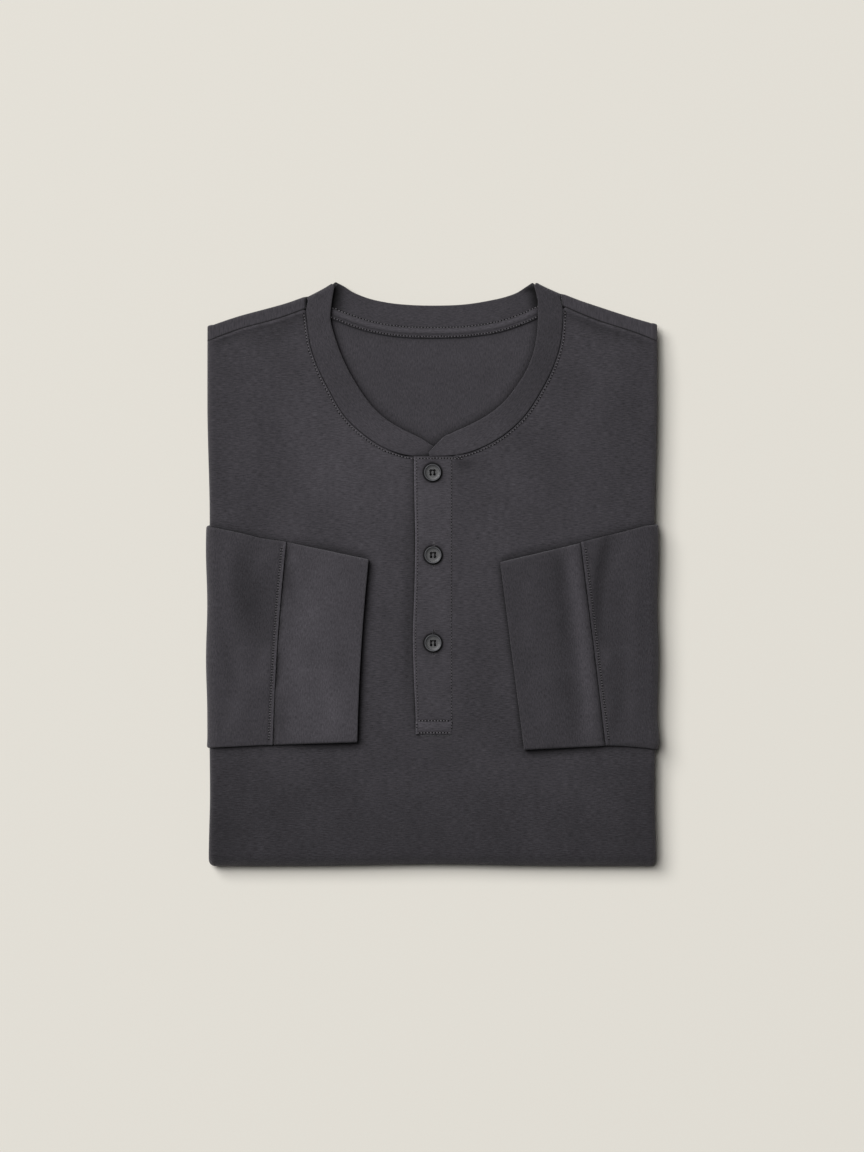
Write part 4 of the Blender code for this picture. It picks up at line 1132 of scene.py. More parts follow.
def makePlackets():
    # the buttonhole side on top, and the button side in the front's slot, sunk a little at its lower end
    upper = flatPiece(
        "placketUpper", placket["left"], placket["right"], placket["bottom"], placket["top"], ply["placket"],
        placketTop, placketKnit, ["placket"], freeEdge,
    )
    lower = flatPiece(
        "placketUnder", placket["left"] + placket["over"] + gap, placket["slotRight"] - gap,
        placket["slotBottom"] + gap, placket["top"] - 0.5, ply["body"],
        lambda x, y: body["stack"] - 1.2 * ease((-84.0 - y) / 14.0), placketKnit, ["under_placket"],
    )
    return upper, lower


sleeves = {
    "flare": {"left": -0.4, "right": 1.1},  # how far the hem-side corner stands out
    "slit": 0.6,
    "waver": 0.42,
    "underRun": 11.0,
    "cut": (0.292, 0.080),
    # inward from the bend's centre, the neck-side edge, the hem-side edge, the step between its two plies
    "left": (
        (-27.0, 34.5, -113.6, 0.0), (-8.0, 31.6, -112.8, 0.0), (2.0, 29.8, -112.4, 0.0),
        (15.0, 27.0, -111.8, 0.0), (28.0, 23.7, -111.1, 0.0), (46.0, 21.0, -110.8, 0.0),
    ),
    "right": (
        (-27.0, 35.5, -115.6, 0.0), (-8.0, 32.6, -115.0, 4.6), (2.0, 31.6, -113.6, 3.6),
        (15.0, 28.0, -112.2, 1.6), (28.0, 25.0, -111.4, 0.2), (46.0, 20.6, -111.4, 0.0),
    ),
    "creases": (
        (-119.0, -16.0, 27.0, 11.0, -76.0, 4.0, -1.20),
        (-109.0, -62.0, 16.0, 5.0, 81.0, 0.0, 0.70),
        (-136.0, 0.0, 34.0, 6.5, 93.0, 0.0, 0.80),
        (-126.0, -82.0, 26.0, 7.0, 76.0, 3.0, 0.60),
        (-133.0, -62.0, 20.0, 4.5, 98.0, 0.0, -0.45),
        (-112.0, 6.0, 12.0, 4.0, 70.0, 0.0, 0.45),
        (108.8, -4.0, 33.0, 4.0, 84.0, -2.5, -1.55),
        (132.0, -45.0, 64.0, 8.0, 91.0, 2.0, 0.75),
        (112.5, -57.5, 8.0, 3.2, 75.0, 0.0, 0.80),
        (121.0, -84.0, 24.0, 4.5, 80.0, 0.0, -0.55),
        (122.0, 8.0, 18.0, 4.5, 66.0, 0.0, 0.50),
        (113.0, -92.0, 16.0, 4.0, 95.0, 0.0, 0.35),
    ),
    # painted shade: middle x and y, half width and height, amount
    "paintedShading": ((-116.0, -14.0, 15.0, 22.0, -0.10), (125.0, -40.0, 40.0, 90.0, -0.20)),
    # painted light on the ridge beside the cuff and painted shade in the dark furrow: amount, width
    "seamLightAndShade": ((0.8, 0.9), (0.35, 0.8)),
}
cuffs = {
    "cut": (0.262, 0.054),
    # seam and open end, each from its neck-side corner to its hem-side corner; then the seam's bow, its gap
    # and how much painted shade darkens the cloth beside it
    "left": {
        "seam": ((-95.4, 21.1), (-103.9, -110.8)), "end": ((-42.7, 9.8), (-49.9, -109.2)),
        "bow": 1.2, "gap": 0.40, "shade": 0.26,
    },
    "right": {
        "seam": ((95.8, 20.5), (112.1, -111.5)), "end": ((43.1, 8.1), (58.3, -114.1)),
        "bow": 0.0, "gap": 0.18, "shade": 0.06,
    },
    "creases": (
        (-94.0, 1.0, 20.0, 3.6, -83.0, 0.0, -0.95),
        (-91.8, 9.4, 5.0, 2.6, 60.0, 0.0, 0.70),
        (-100.4, -62.0, 9.0, 3.2, 80.0, 0.0, -0.70),
        (-97.6, -94.6, 15.0, 4.0, 88.0, 0.0, -0.65),
        (-76.0, -18.0, 30.0, 10.0, 72.0, 3.0, 0.55),
        (-64.5, -90.0, 22.0, 10.0, 95.0, 0.0, 0.55),
        (-60.0, -50.0, 30.0, 7.0, 80.0, -3.0, -0.35),
        (-84.0, -70.0, 26.0, 6.0, 100.0, 3.0, 0.35),
        (97.2, -44.0, 70.0, 4.8, -83.6, -2.0, 1.20),
        (83.0, -17.0, 32.0, 4.5, -86.0, 1.0, -0.80),
        (72.0, -72.0, 30.0, 7.0, 98.0, 2.0, 0.50),
        (63.0, -25.0, 26.0, 6.0, 84.0, 0.0, 0.35),
        (90.0, -88.0, 22.0, 4.0, 96.0, 0.0, -0.50),
    ),
    "open": 1.5,  # how much further apart its two sides stand at the open end than at the seam
    # painted light and shade: middle x and y, half width and height, amount
    "paintedShading": (
        (-70.0, -50.0, 50.0, 110.0, 0.31),
        (-74.0, -8.0, 30.0, 26.0, -0.06),
        (75.0, -50.0, 60.0, 110.0, -0.14),
        (93.5, 8.0, 5.0, 20.0, 0.16),
        (96.5, -28.0, 5.0, 26.0, 0.20),
        (101.0, -68.0, 5.0, 26.0, 0.20),
        (104.5, -102.0, 5.0, 18.0, 0.14),
    ),
}
bendX = body["half"] - body["turnShallow"] / 2.0 - 1.1
bendZ = body["stack"] - body["turnShallow"] / 2.0
bendRadius = body["turnShallow"] / 2.0 + gap + ply["body"] + sleeves["slit"] / 2.0
bendLength = math.pi * bendRadius
arms = {"left": -1.0, "right": 1.0}


def sleevePath(inward):
    # the sleeve's middle in side view: straight below, round a half circle about the turned side, and
    # straight on top
    angle = math.pi / 2.0 + np.clip(inward, -bendLength, 0.0) / bendRadius
    out, up = np.cos(angle), np.sin(angle)
    straight = np.where(inward > 0.0, -inward, np.minimum(inward + bendLength, 0.0))
    return bendX + bendRadius * out + straight, bendZ + bendRadius * up, out, up


def flatRing(half, flats=31, arc=9):
    # round a flattened tube: share of its width, extra across, height, and how far on top
    share = np.linspace(0.0, 1.0, flats)
    angle = np.linspace(math.pi / 2.0, -math.pi / 2.0, arc + 2)[1:-1]
    shares = np.concatenate([share, np.ones(arc), share[::-1], np.zeros(arc)])
    extra = np.concatenate([0.0 * share, half * np.cos(angle), 0.0 * share, -half * np.cos(angle)])
    flat, curved = half + 0.0 * share, half * np.sin(angle)
    height = np.concatenate([flat, curved, -flat, -curved])
    return shares, extra, height, (1.0 + height / half) / 2.0


def seamX(cuff, end, share):
    # distance from the middle line of a cuff's seam or open end: straight from corner to corner, with a bow
    (first, _), (last, _) = cuff[end]
    return np.abs(first + (last - first) * share) + 4.0 * cuff["bow"] * share * (1.0 - share)


def fromCuffSeam(x, y):
    # distance on the sleeve's side from the cuff's seam
    cuff = cuffs["left"] if np.mean(x) < 0.0 else cuffs["right"]
    (_, first), (_, last) = cuff["seam"]
    return np.abs(x) - seamX(cuff, "seam", np.clip((y - first) / (last - first), 0.0, 1.0))


def cuffWelt(x, y):
    # the pressed seam stands up as a smooth ridge, then dips under the two rows of stitches
    away = fromCuffSeam(x, y)
    return 0.42 * bell(away, 1.9, 4) - 0.26 * bell(away - 3.1, 0.9)


def puckers(x, y):
    # beside its seam the cuff is drawn in unevenly: a narrow furrow that widens and narrows along the seam
    away = -fromCuffSeam(x, y)
    wide = 1.5 + 0.8 * unevenness(0.0 * y, y, 9.0, 1.0, 41)
    depth = 1.0 + 0.5 * unevenness(0.0 * y, y, 5.0, 1.0, 42)
    return -0.85 * bell(away, np.maximum(wide, 0.7)) * depth


def sleeveRelief(x, y):
    # creases plus swell plus the pressed seam's welt
    return creases(sleeves["creases"], x, y) + unevenness(x, y, 20.0, 0.14, 31) + cuffWelt(x, y)


def cuffRelief(x, y):
    # creases plus swell plus the puckers beside its seam
    return creases(cuffs["creases"], x, y) + unevenness(x, y, 20.0, 0.10, 32) + puckers(x, y)


def sleeveTop(side, x, y):
    # height of a sleeve's upper face at a plan point on the flat
    half = (ply["body"] + sleeves["slit"]) / 2.0
    inward = bendX - np.abs(x)
    return bendZ + bendRadius + half + ply["body"] / 2.0 + sleeveRelief(x, y) * ease(inward / 12.0)


def makeSleeve(label):
    # a flattened tube: out between the two halves, round the side and over the front to the cuff's seam
    side, cuff = arms[label], cuffs[label]
    table = np.array(sleeves[label])
    half = (ply["body"] + sleeves["slit"]) / 2.0
    flatHalf = half + ply["body"] / 2.0
    radius = ply["body"] / 2.0
    under = -(bendLength + sleeves["underRun"]) + between(sleeves["underRun"], 2.5, first=radius)
    bend = np.linspace(-bendLength, 0.0, 25)[1:]
    top = np.concatenate([between(33.0, 1.8)[1:-1], 33.0 + between(7.0, 0.6, last=radius)]) / 40.0
    stations = np.concatenate([under, bend, top])
    share, extra, height, onTop = flatRing(half)
    reach = bendX - seamX(cuff, "seam", share) - cuff["gap"] / 2.0
    inward = np.where(stations[:, None] > 0.0, stations[:, None] * reach, stations[:, None] + 0.0 * reach)
    neckY, hemY, step = (np.interp(inward, table[:, 0], table[:, k]) for k in (1, 2, 3))
    y = neckY - flatHalf + (hemY + step * onTop - neckY + 2.0 * flatHalf) * share - extra
    x, z, out, up = sleevePath(inward)
    lift = height + sleeveRelief(side * x, y) * ease(inward / 12.0) * onTop**2
    # fainter creases go on round the bend
    bent = ease(-inward / 6.0) * ease((inward + bendLength) / 8.0)
    lift = lift + 0.4 * (creases(sleeves["creases"], side * x, y - 6.0) * bent) * onTop**2
    # the outer edge wanders a little, and flares or tucks in at its hem-side corner
    outer = ease((x - 125.0) / 15.0)
    waver = sleeves["waver"] * np.cos(2.0 * math.pi * (y + 55.0) / 72.0) * outer
    waver = waver + sleeves["flare"][label] * bell(y + 108.0, 9.0) * outer
    middle = np.stack([side * (x + out * lift + waver), y, z + up * lift], axis=2)
    fromEnd = np.where(stations > 0.0, (1.0 - stations) * 40.0, 99.0)
    shell = np.minimum(roundHalf(fromEnd, radius), roundHalf(stations - stations[0], radius))
    run = lengths(np.concatenate([middle[20], middle[20, :1]]))
    along = np.where(stations > 0.0, stations * 40.0, stations)
    uv = clothPlaces(run[None, :], along[:, None])
    # painted light and shade: its spots, troughs darker and ridges lighter, and the ridge and furrow beside
    # the cuff
    tone = paintedShading(sleeves["paintedShading"], middle[:, :, 0], middle[:, :, 1])
    away = fromCuffSeam(side * x, y)
    (ridge, wide), (furrow, narrow) = sleeves["seamLightAndShade"]
    relief = sleeveRelief(side * x, y) + ridge * bell(away - 0.9, wide, 4) - furrow * bell(away - 2.8, narrow)
    tone = tone * np.where(inward > 0.0, paintedReliefShade(relief * ease(inward / 12.0)), 1.0)
    mesh = shellMesh("sleeve" + label.title(), middle, shell[:, None] + 0.0 * share, uv, wrap=True, tone=tone)
    return piece("sleeve" + label.title(), mesh, sleeveKnit, ["sleeve_" + label])


def makeCuff(label):
    # a flattened tube of doubled cloth, from the sleeve's end to its own open end
    side, cuff = arms[label], cuffs[label]
    half = (ply["cuff"] + sleeves["slit"]) / 2.0
    flatHalf = half + ply["cuff"] / 2.0
    radius = ply["cuff"] / 2.0
    (_, seamTop), (_, seamBottom) = cuff["seam"]
    (_, endTop), (_, endBottom) = cuff["end"]
    share, extra, height, onTop = flatRing(half)
    length = 52.0
    distance = between(length, 1.8, radius, radius)
    along = (distance / length)[:, None]
    seamAt = seamX(cuff, "seam", share) - cuff["gap"] / 2.0
    spread = height * cuffs["open"] * ease(along * 1.3)
    x = side * (seamAt + (seamX(cuff, "end", share) - seamAt) * along)
    neckY = seamTop + (endTop - seamTop) * along
    hemY = seamBottom + (endBottom - seamBottom) * along
    y = neckY - flatHalf + (hemY - neckY + 2.0 * flatHalf) * share - extra
    z = body["stack"] + gap + flatHalf + height + spread + np.abs(spread[:, :1]) + cuffRelief(x, y) * onTop**2
    shell = np.minimum(roundHalf(distance, radius), roundHalf(length - distance, radius))
    middle = np.stack([x, y, z], axis=2)
    run = lengths(np.concatenate([middle[20], middle[20, :1]]))
    uv = clothPlaces(run[None, :], distance[:, None])
    # painted light and shade: its spots, troughs darker and ridges lighter, and painted shade beside its seam
    tone = paintedShading(cuffs["paintedShading"], x, y) * paintedReliefShade(cuffRelief(x, y))
    tone = tone * (1.0 - cuff["shade"] * bell(fromCuffSeam(x, y), 2.4))
    mesh = shellMesh("cuff" + label.title(), middle, shell[:, None] + 0.0 * share, uv, wrap=True, tone=tone)
    return piece("cuff" + label.title(), mesh, sleeveKnit, ["cuff_" + label])


sewing = {
    "long": 1.45,  # a stitch's length and width, and how far it stands out of the cloth
    "wide": 0.46,
    "high": 0.10,
    "hole": (1.2, 0.66),  # the dark dent between two stitches, painted shade at the needle hole
    "lift": 0.06,
    "cord": 0.30,  # radius of the thread in a shoulder's seam, and how deep its middle lies
    "sunk": 0.12,
    "pitch": 2.35,
    "wander": 0.10,
    "dentShadeAndThreadTone": 0.07,  # how dark a dent is beside a thread's 1, painted shade at the needle holes and slits, also used for the buttons' dark thread; and how dark the shoulders' sunk thread is, painted shade of the seam's furrow
    "sunkShade": 0.16,
    "neckAway": 1.5,  # from the band's seam to its row on the front
}


def stitchTemplate():
    # a thread that arches out of the cloth and dives in at both ends: a round section, whose radius is
    # sqrt(1 - t^4), along a half wave from t = -1 to 1
    t = np.linspace(-1.0, 1.0, 9)
    turn = np.linspace(0.0, 2.0 * math.pi, 9)[:-1]
    thick = np.sqrt(np.maximum(1.0 - t**4, 0.02))
    rise = np.cos(t * math.pi / 2.0) - 0.75
    points = np.stack(
        [
            t[:, None] + 0.0 * turn,
            thick[:, None] * np.cos(turn),
            rise[:, None] + thick[:, None] * np.sin(turn),
        ],
        axis=2,
    ).reshape(-1, 3)
    ends = [[0, 1, 2, 3], [0, 3, 4, 7], [4, 5, 6, 7], [67, 66, 65, 64], [71, 68, 67, 64], [71, 70, 69, 68]]
    return points, np.concatenate([ringFaces(9, 8), ends])


def alongLine(line, pitch, first=0.0, last=0.0):
    # places and directions at even steps along a plan line
    run = lengths(line)
    count = int((run[-1] - first - last) / pitch)
    at = first + pitch * (np.arange(count) + 0.5)
    plan = np.stack([np.interp(at, run, line[:, k]) for k in (0, 1)], axis=1)
    ahead = np.stack([np.interp(at + 0.2, run, line[:, k]) for k in (0, 1)], axis=1)
    behind = np.stack([np.interp(at - 0.2, run, line[:, k]) for k in (0, 1)], axis=1)
    along = ahead - behind
    return plan, along / np.linalg.norm(along, axis=1)[:, None]


def stitchFrames(line, topAt, seed, pitch=None, long=None, wide=None, turned=0.0, first=0.0, last=0.0):
    # one frame for each stitch of a row: its length along the line, its width across, its height up
    pitch, long, wide = pitch or sewing["pitch"], long or sewing["long"], wide or sewing["wide"]
    plan, along = alongLine(np.asarray(line, float), pitch, first, last)
    rng = np.random.default_rng(seed)
    plan = plan + rng.normal(0.0, sewing["wander"], plan.shape)
    cosine, sine = math.cos(turned), math.sin(turned)
    turnedX, turnedY = along[:, 0] * cosine - along[:, 1] * sine, along[:, 0] * sine + along[:, 1] * cosine
    along = np.stack([turnedX, turnedY], axis=1)
    step = 0.3
    rise = topAt(plan[:, 0] + along[:, 0] * step, plan[:, 1] + along[:, 1] * step)
    fall = topAt(plan[:, 0] - along[:, 0] * step, plan[:, 1] - along[:, 1] * step)
    slope = (rise - fall) / (2.0 * step)
    forward = np.stack([along[:, 0], along[:, 1], slope], axis=1)
    across = np.stack([-along[:, 1], along[:, 0], 0.0 * slope], axis=1)
    up = np.cross(forward, across)
    length = long * rng.uniform(0.9, 1.1, len(plan))[:, None] / 2.0
    frames = np.stack([forward * length, across * wide / 2.0, up * (sewing["high"] + wide / 4.0)], axis=2)
    place = np.stack([plan[:, 0], plan[:, 1], topAt(plan[:, 0], plan[:, 1])], axis=1)
    return np.concatenate([frames, place[:, :, None]], axis=2)


def makeStitches(name, rows):
    # every row is a pair: frames of threads and frames of the dark dents between them, told apart by their
    # tone; the dents are painted shade at the needle holes, and the buttons' dark thread goes with them
    template, faces = stitchTemplate()
    threads = np.concatenate([row[0] for row in rows])
    shadowDentsAndDarkThread = np.concatenate([row[1] for row in rows])
    size = len(template)
    tone = np.concatenate([np.full(len(threads) * size, 1.0), np.full(len(shadowDentsAndDarkThread) * size, sewing["dentShadeAndThreadTone"])])
    mesh = joined(name, template, faces, np.concatenate([threads, shadowDentsAndDarkThread]), tone)
    return piece(name, mesh, threadGrey)


def stitchRow(line, topAt, seed, wide=None, dark=1.0, pitch=None, first=0.0, last=0.0):
    # the threads of one row and the dark dents between them, painted shade at the needle holes, both shorter
    # where the pitch is
    wide, pitch = wide or sewing["wide"], pitch or sewing["pitch"]
    fine = pitch / sewing["pitch"]
    long, broad = sewing["hole"][0] * fine, sewing["hole"][1]
    threads = stitchFrames(line, topAt, seed, pitch, sewing["long"] * fine, wide, first=first, last=last)
    size = broad * wide / sewing["wide"] * dark
    shadowDentsAndDarkThread = stitchFrames(line, topAt, seed, pitch, long * dark, size, first=first + pitch / 2.0, last=last)
    shadowDentsAndDarkThread[:, :, 2] *= 0.35  # they are flatter
    shadowDentsAndDarkThread[:, 2, 3] += sewing["lift"]
    return threads, shadowDentsAndDarkThread


def shifted(line, away):
    # a plan line moved along its normal
    line = np.asarray(line, float)[:, :2]
    return line + planNormal(line) * away


def besideNeck(away):
    # height of the front's face beside the band's seam
    def top(x, y):
        # face, relief and welt together
        return frontHeight(x, y) + frontRelief(x, y) + seamWelt(away, *neckWelt)

    return top


def sewNeck():
    # one row on the front beside the band, from the placket up to each shoulder
    fine, away = np.linspace(0.0, 1.0, 200), sewing["neckAway"]
    left = [row[:2] for row in bandLeft[:9]] + [(-11.0, 76.6)]
    right = [(11.5, 77.0)] + [row[:2] for row in bandRight[:9]][::-1]
    lines = [shifted(through(line, fine), away) for line in (left, right)]
    rows = [
        stitchRow(line, besideNeck(away), seed, wide=0.58, dark=1.05, pitch=2.05)
        for seed, line in enumerate(lines, start=1)
    ]
    return makeStitches("neckStitches", rows)


def sewBackNeck():
    # a row along the band's lower edge and one along the tape's
    seam = through([row[:2] for row in bandBack], np.linspace(0.04, 0.96, 200))

    def bandTop(x, y):
        # the band's face near its thinned edge
        return baseHeight(y) - band["backSink"] + 0.5 + 0.79 * ply["band"] / 2.0

    def overTape(x, y):
        # the tape's face, which is level across
        return tapeTop(y)

    rows = [
        stitchRow(shifted(seam, -0.8), bandTop, 3, wide=0.52, dark=1.05, pitch=2.05),
        stitchRow(shifted(seam, 5.2), overTape, 4, wide=0.50, dark=1.3, pitch=1.95),
    ]
    return makeStitches("backNeckStitches", rows)


def sewShoulders():
    # the sunk thread of each shoulder's seam, over the turned side to the edge: a thin tube along it, painted
    # dark as the shade in the seam's furrow
    turn = np.linspace(0.0, 2.0 * math.pi, 9)[:-1]
    points, faces = [], []
    for rows in (shoulderLeft, shoulderRight):
        line = through(rows, np.linspace(0.0, 1.0, 90))[:, :2]
        side = math.copysign(1.0, line[0, 0])
        inside = np.maximum(sideHalf(line[:, 1]) - np.abs(line[:, 0]), 0.0)
        radius = body["turnShallow"] / 2.0
        fall = radius - np.sqrt(np.maximum(radius**2 - np.maximum(radius - inside, 0.0) ** 2, 0.0))
        z = baseHeight(line[:, 1]) - fall - sewing["sunk"]
        across = planNormal(line)
        out, up = sewing["cord"] * np.cos(turn), sewing["cord"] * np.sin(turn)
        ring = [line[:, :1] + across[:, :1] * out, line[:, 1:] + across[:, 1:] * out, z[:, None] + up]
        first = sum(len(part) for part in points)
        n = len(line)
        ends = np.array([[0, 3, 2, 1], [0, 5, 4, 3], [0, 7, 6, 5]])
        last = (n - 1) * 8 + ends[:, ::-1]
        quads = np.concatenate([ringFaces(n, 8, flip=True), ends, last])
        if side < 0.0:
            quads = quads[:, ::-1]
        points.append(np.stack(ring, axis=2).reshape(-1, 3))
        faces.append(quads + first)
    points = np.concatenate(points)
    # painted shade: the thread is darkened to stand for the shadow in the seam's furrow
    tone = np.full(len(points), sewing["sunkShade"])
    mesh = meshFrom("shoulderThread", points, np.concatenate(faces), tone=tone)
    return piece("shoulderThread", mesh, threadGrey)


def sewPlacket():
    # rows just inside both long edges and two across the bottom
    left, right, bottom, top = placket["left"], placket["right"], placket["bottom"], placket["top"]
    y = np.linspace(top - 1.0, bottom + 9.0, 60)
    edge = np.stack([left + 1.7 + freeEdge(y), y], axis=1)
    boxTop, boxBottom = -95.0, -102.9
    # seed, width, darkness and line of each row
    table = (
        (5, 0.36, 0.9, edge),
        (6, 0.36, 0.85, [(right - 0.3, top - 1.0), (right - 0.4, 0.0), (right - 0.3, bottom + 2.0)]),
        (7, 0.62, 1.15, [(left + 2.2, boxTop), (right - 0.6, boxTop)]),
        (8, 0.62, 1.15, [(left + 1.6, boxBottom), (right - 0.6, boxBottom)]),
        (10, 0.50, 1.1, [(left + 1.8, boxTop - 0.5), (left + 1.5, boxBottom + 0.5)]),
        (9, 0.52, 1.1, [(left + 1.6, top - 1.3), (right + 8.0, top - 1.3)]),
    )
    rows = [stitchRow(line, placketTop, seed, wide, dark, 2.0) for seed, wide, dark, line in table]
    return makeStitches("placketStitches", rows)


def sewCuff(label):
    # two rows on the sleeve beside the cuff's seam
    side, cuff = arms[label], cuffs[label]
    share = np.linspace(0.02, 0.98, 60)
    (_, first), (_, last) = cuff["seam"]

    def top(x, y):
        # this side's sleeve
        return sleeveTop(side, x, y)

    rows = []
    for seed, away in enumerate((2.3, 3.1)):
        line = np.stack([side * (seamX(cuff, "seam", share) + away), first + (last - first) * share], axis=1)
        rows.append(stitchRow(line, top, 20 + seed, wide=0.36, dark=1.0, pitch=1.75))
    return makeStitches("cuffStitches" + label.title(), rows)


buttons = {
    "hole": 0.86,  # radius of a thread hole, and how far it stands from the middle lines
    "spread": 1.25,
    "places": {"button_1": (-1.1, 66.3), "button_2": (-0.8, 12.7), "button_3": (-0.8, -44.5)},
    # the turned outline, from the middle of its face over the rim to its back: radius and height
    "outline": (
        (0.0, 1.40), (3.0, 1.40), (4.5, 1.41), (4.72, 1.46), (4.9, 1.66), (5.05, 1.84), (5.22, 1.92),
        (5.4, 1.84), (5.55, 1.60), (5.66, 1.25), (5.70, 0.9), (5.6, 0.55), (5.2, 0.22), (4.6, 0.04),
        (0.0, 0.0),
    ),
    "rim": (5.1, 0.28, 5.5),  # a painted highlight on the rim: radius, width, amount
    "skirt": (5.45, 0.7),  # painted shade on the side below it
    "slit": 17.4,  # length of a buttonhole, the width of its bars and their pitch
    "bar": 1.7,
    "barPitch": 0.62,
}


def makeButtons():
    # the outline turned round its axis, with four holes cut through by drills
    base = body["stack"] + 2.0 * gap + ply["placket"]
    outline = np.array(buttons["outline"])
    rings = outline[1:-1]
    turn = np.linspace(0.0, 2.0 * math.pi, 73)[:-1]
    points = [rings[:, :1] * np.cos(turn), rings[:, :1] * np.sin(turn), rings[:, 1:] + 0.0 * turn]
    points = np.stack(points, axis=2)
    points = np.concatenate([points.reshape(-1, 3), [(0.0, 0.0, outline[0, 1]), (0.0, 0.0, outline[-1, 1])]])
    count, size = len(rings), len(turn)
    faces = ringFaces(count, size).tolist()
    top, bottom = count * size, count * size + 1
    faces += [[top, n, (n + 1) % size] for n in range(size)]
    last = (count - 1) * size
    faces += [[bottom, last + (n + 1) % size, last + n] for n in range(size)]
    blank = bpy.data.objects.new("buttonBlank", meshFrom("buttonBlank", points, faces))
    bpy.context.scene.collection.objects.link(blank)
    drills = []
    for signX in (-1, 1):
        for signY in (-1, 1):
            place = (signX * buttons["spread"] * mm, signY * buttons["spread"] * mm, 0.0)
            bpy.ops.mesh.primitive_cylinder_add(
                vertices=20, radius=buttons["hole"] * mm, depth=8.0 * mm, location=place
            )
            drills.append(bpy.context.object)
            cut = blank.modifiers.new("hole", "BOOLEAN")
            cut.operation = "DIFFERENCE"
            cut.object = drills[-1]
    bpy.context.view_layer.update()
    drilled = bpy.data.meshes.new_from_object(blank.evaluated_get(bpy.context.evaluated_depsgraph_get()))
    for spare in [blank, *drills]:
        bpy.data.objects.remove(spare, do_unlink=True)
    made = []
    (rim, rimWide, rimHighlight), (skirt, skirtShade) = buttons["rim"], buttons["skirt"]
    for name, (x, y) in buttons["places"].items():
        mesh = drilled.copy()
        mesh.name = name
        points = np.zeros(len(mesh.vertices) * 3, np.float32)
        mesh.vertices.foreach_get("co", points)
        points = points.reshape(-1, 3) + np.array([x * mm, y * mm, base * mm])
        mesh.vertices.foreach_set("co", points.astype(np.float32).ravel())
        away = np.hypot(points[:, 0] / mm - x, points[:, 1] / mm - y)
        # painted highlight on the rim and painted shade on the side below it
        tone = 1.0 + rimHighlight * bell(away - rim, rimWide) - skirtShade * ease((away - skirt) / 0.12)
        writeTone(mesh, tone)
        mesh.materials.clear()
        mesh.shade_smooth()
        mesh.set_sharp_from_angle(angle=math.radians(40.0))
        made.append(piece(name.replace("_", "") + "Turned", mesh, buttonPlastic, [name]))
    return made


def sewButtons():
    # dark thread between the holes of each button, and the bars of the buttonholes that show past the lower
    # two: two threads upright and one level, with `face` as their height
    rows, dark = [], []
    spread, slit = buttons["spread"], buttons["slit"]
    face = body["stack"] + 2.0 * gap + ply["placket"] + buttons["outline"][0][1]

    def onFace(x, y):
        # the button's face is level
        return face + 0.0 * x

    for name, (x, y) in buttons["places"].items():
        for sign in (-1.0, 1.0):
            line = [(x + sign * spread, y - 1.5), (x + sign * spread, y + 1.5)]
            dark.append(stitchFrames(line, onFace, 60, pitch=3.0, long=3.8, wide=1.15))
        line = [(x - 1.5, y + spread), (x + 1.5, y + spread)]
        dark.append(stitchFrames(line, onFace, 63, pitch=3.0, long=3.6, wide=1.0))
        if name != "button_1":
            line = np.array([(x + 0.6, y - slit / 2.0), (x + 0.6, y + slit / 2.0)])
            bars = buttons["barPitch"], buttons["bar"], 0.30
            rows.append(stitchFrames(line, placketTop, 61, *bars, turned=math.pi / 2.0))
            # a dark frame along each buttonhole's slit: painted shade in the slit
            dark.append(stitchFrames(line, placketTop, 62, slit, slit, 1.0))
            dark[-1][:, 2, 3] += 0.18
    none = dark[0][:0]
    return makeStitches("buttonStitches", [(part, none) for part in rows] + [(none, part) for part in dark])


studio = {
    "centre": (-1.46, -0.98),  # the camera hangs straight above this place
    "viewHeight": 748.8,  # how much of the floor it sees from top to bottom
    "distance": 8000.0,
    "floor": (0.833, 0.802, 0.731),
    "keyTurn": 136.0,  # the key light comes from the upper left, counted from the right
    "keyRise": 50.0,
    "keySpread": 32.0,
    "keyAway": 17000.0,
    "key": 1.97,
    "fillSpread": 24.0,
    "fillRise": 74.0,
    "fill": 1.385,
    "sky": 0.045,
}


def addLight(name, kind, turn, rise, away):
    # a light `away` from the middle, facing it: cos(rise) (cos(turn), sin(turn)) along the floor and
    # sin(rise) up
    lamp = bpy.data.lights.new(name, kind)
    made = bpy.data.objects.new(name, lamp)
    aim, tilt = math.radians(turn), math.radians(rise)
    flat = math.cos(tilt)
    place = (flat * math.cos(aim), flat * math.sin(aim), math.sin(tilt))
    made.location = [part * away * mm for part in place]
    made.rotation_euler = (0.0, math.radians(90.0 - rise), aim)
    bpy.context.scene.collection.objects.link(made)
    return lamp


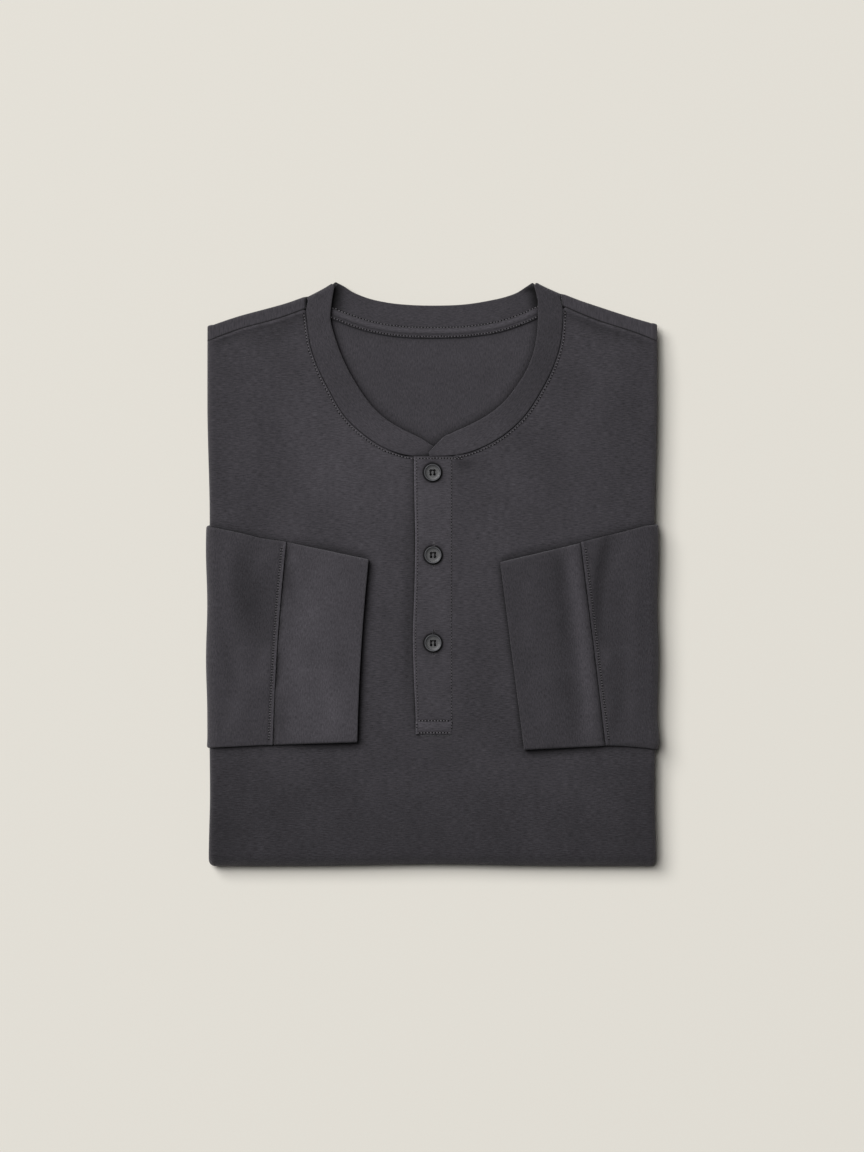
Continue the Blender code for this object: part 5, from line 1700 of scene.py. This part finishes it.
def makeLights():
    # a disk seen under its spread gives `key` on a surface facing it: its power is the irradiance times pi
    # times distance^2
    key = addLight("keyLight", "AREA", studio["keyTurn"], studio["keyRise"], studio["keyAway"])
    key.shape = "DISK"
    key.size = 2.0 * studio["keyAway"] * mm * math.tan(math.radians(studio["keySpread"] / 2.0))
    key.energy = studio["key"] * math.pi * (studio["keyAway"] * mm) ** 2
    fill = addLight("fillLight", "SUN", studio["keyTurn"], studio["fillRise"], 2000.0)
    fill.angle = math.radians(studio["fillSpread"])
    fill.energy = studio["fill"]


def makeStudio():
    # a nearly level view from far above: focal length = sensor height times distance / height of the view
    scene = bpy.context.scene
    lens = bpy.data.cameras.new("camera")
    lens.sensor_fit = "VERTICAL"
    lens.sensor_height = 36.0
    lens.lens = 36.0 * studio["distance"] / studio["viewHeight"]
    lens.clip_start = 0.1
    lens.clip_end = 20.0
    camera = bpy.data.objects.new("camera", lens)
    above = studio["distance"] + body["stack"]
    camera.location = (studio["centre"][0] * mm, studio["centre"][1] * mm, above * mm)
    scene.collection.objects.link(camera)
    scene.camera = camera
    makeLights()
    world = bpy.data.worlds.new("sky")
    world.use_nodes = True
    world.node_tree.nodes["Background"].inputs[0].default_value = (1.0, 1.0, 1.0, 1.0)
    world.node_tree.nodes["Background"].inputs[1].default_value = studio["sky"]
    scene.world = world
    scene.view_settings.view_transform = "Standard"
    size = 3000.0
    points = [(-size, -size, 0.0), (size, -size, 0.0), (size, size, 0.0), (-size, size, 0.0)]
    mesh = meshFrom("floor", points, [[0, 1, 2, 3]])
    floor = bpy.data.objects.new("floor", mesh)
    scene.collection.objects.link(floor)
    mesh.materials.append(floorMaterial("paper", studio["floor"]))
    return floor


for spare in ("Cube", "Light", "Camera"):
    if spare in bpy.data.objects:
        bpy.data.objects.remove(bpy.data.objects[spare], do_unlink=True)
makeStudio()
front = makeFront()
back = makeBack()
hidden = makeHidden()
neckbandRibbon = makeBand()
neckTape = makeTape()
placketUpper, placketUnder = makePlackets()
sleevePieces = {label: makeSleeve(label) for label in arms}
cuffPieces = {label: makeCuff(label) for label in arms}
turnedButtons = makeButtons()
buttonStitches = sewButtons()
neckStitches, backStitches = sewNeck(), sewBackNeck()
shoulderThread, placketStitches = sewShoulders(), sewPlacket()
cuffStitches = {label: sewCuff(label) for label in arms}
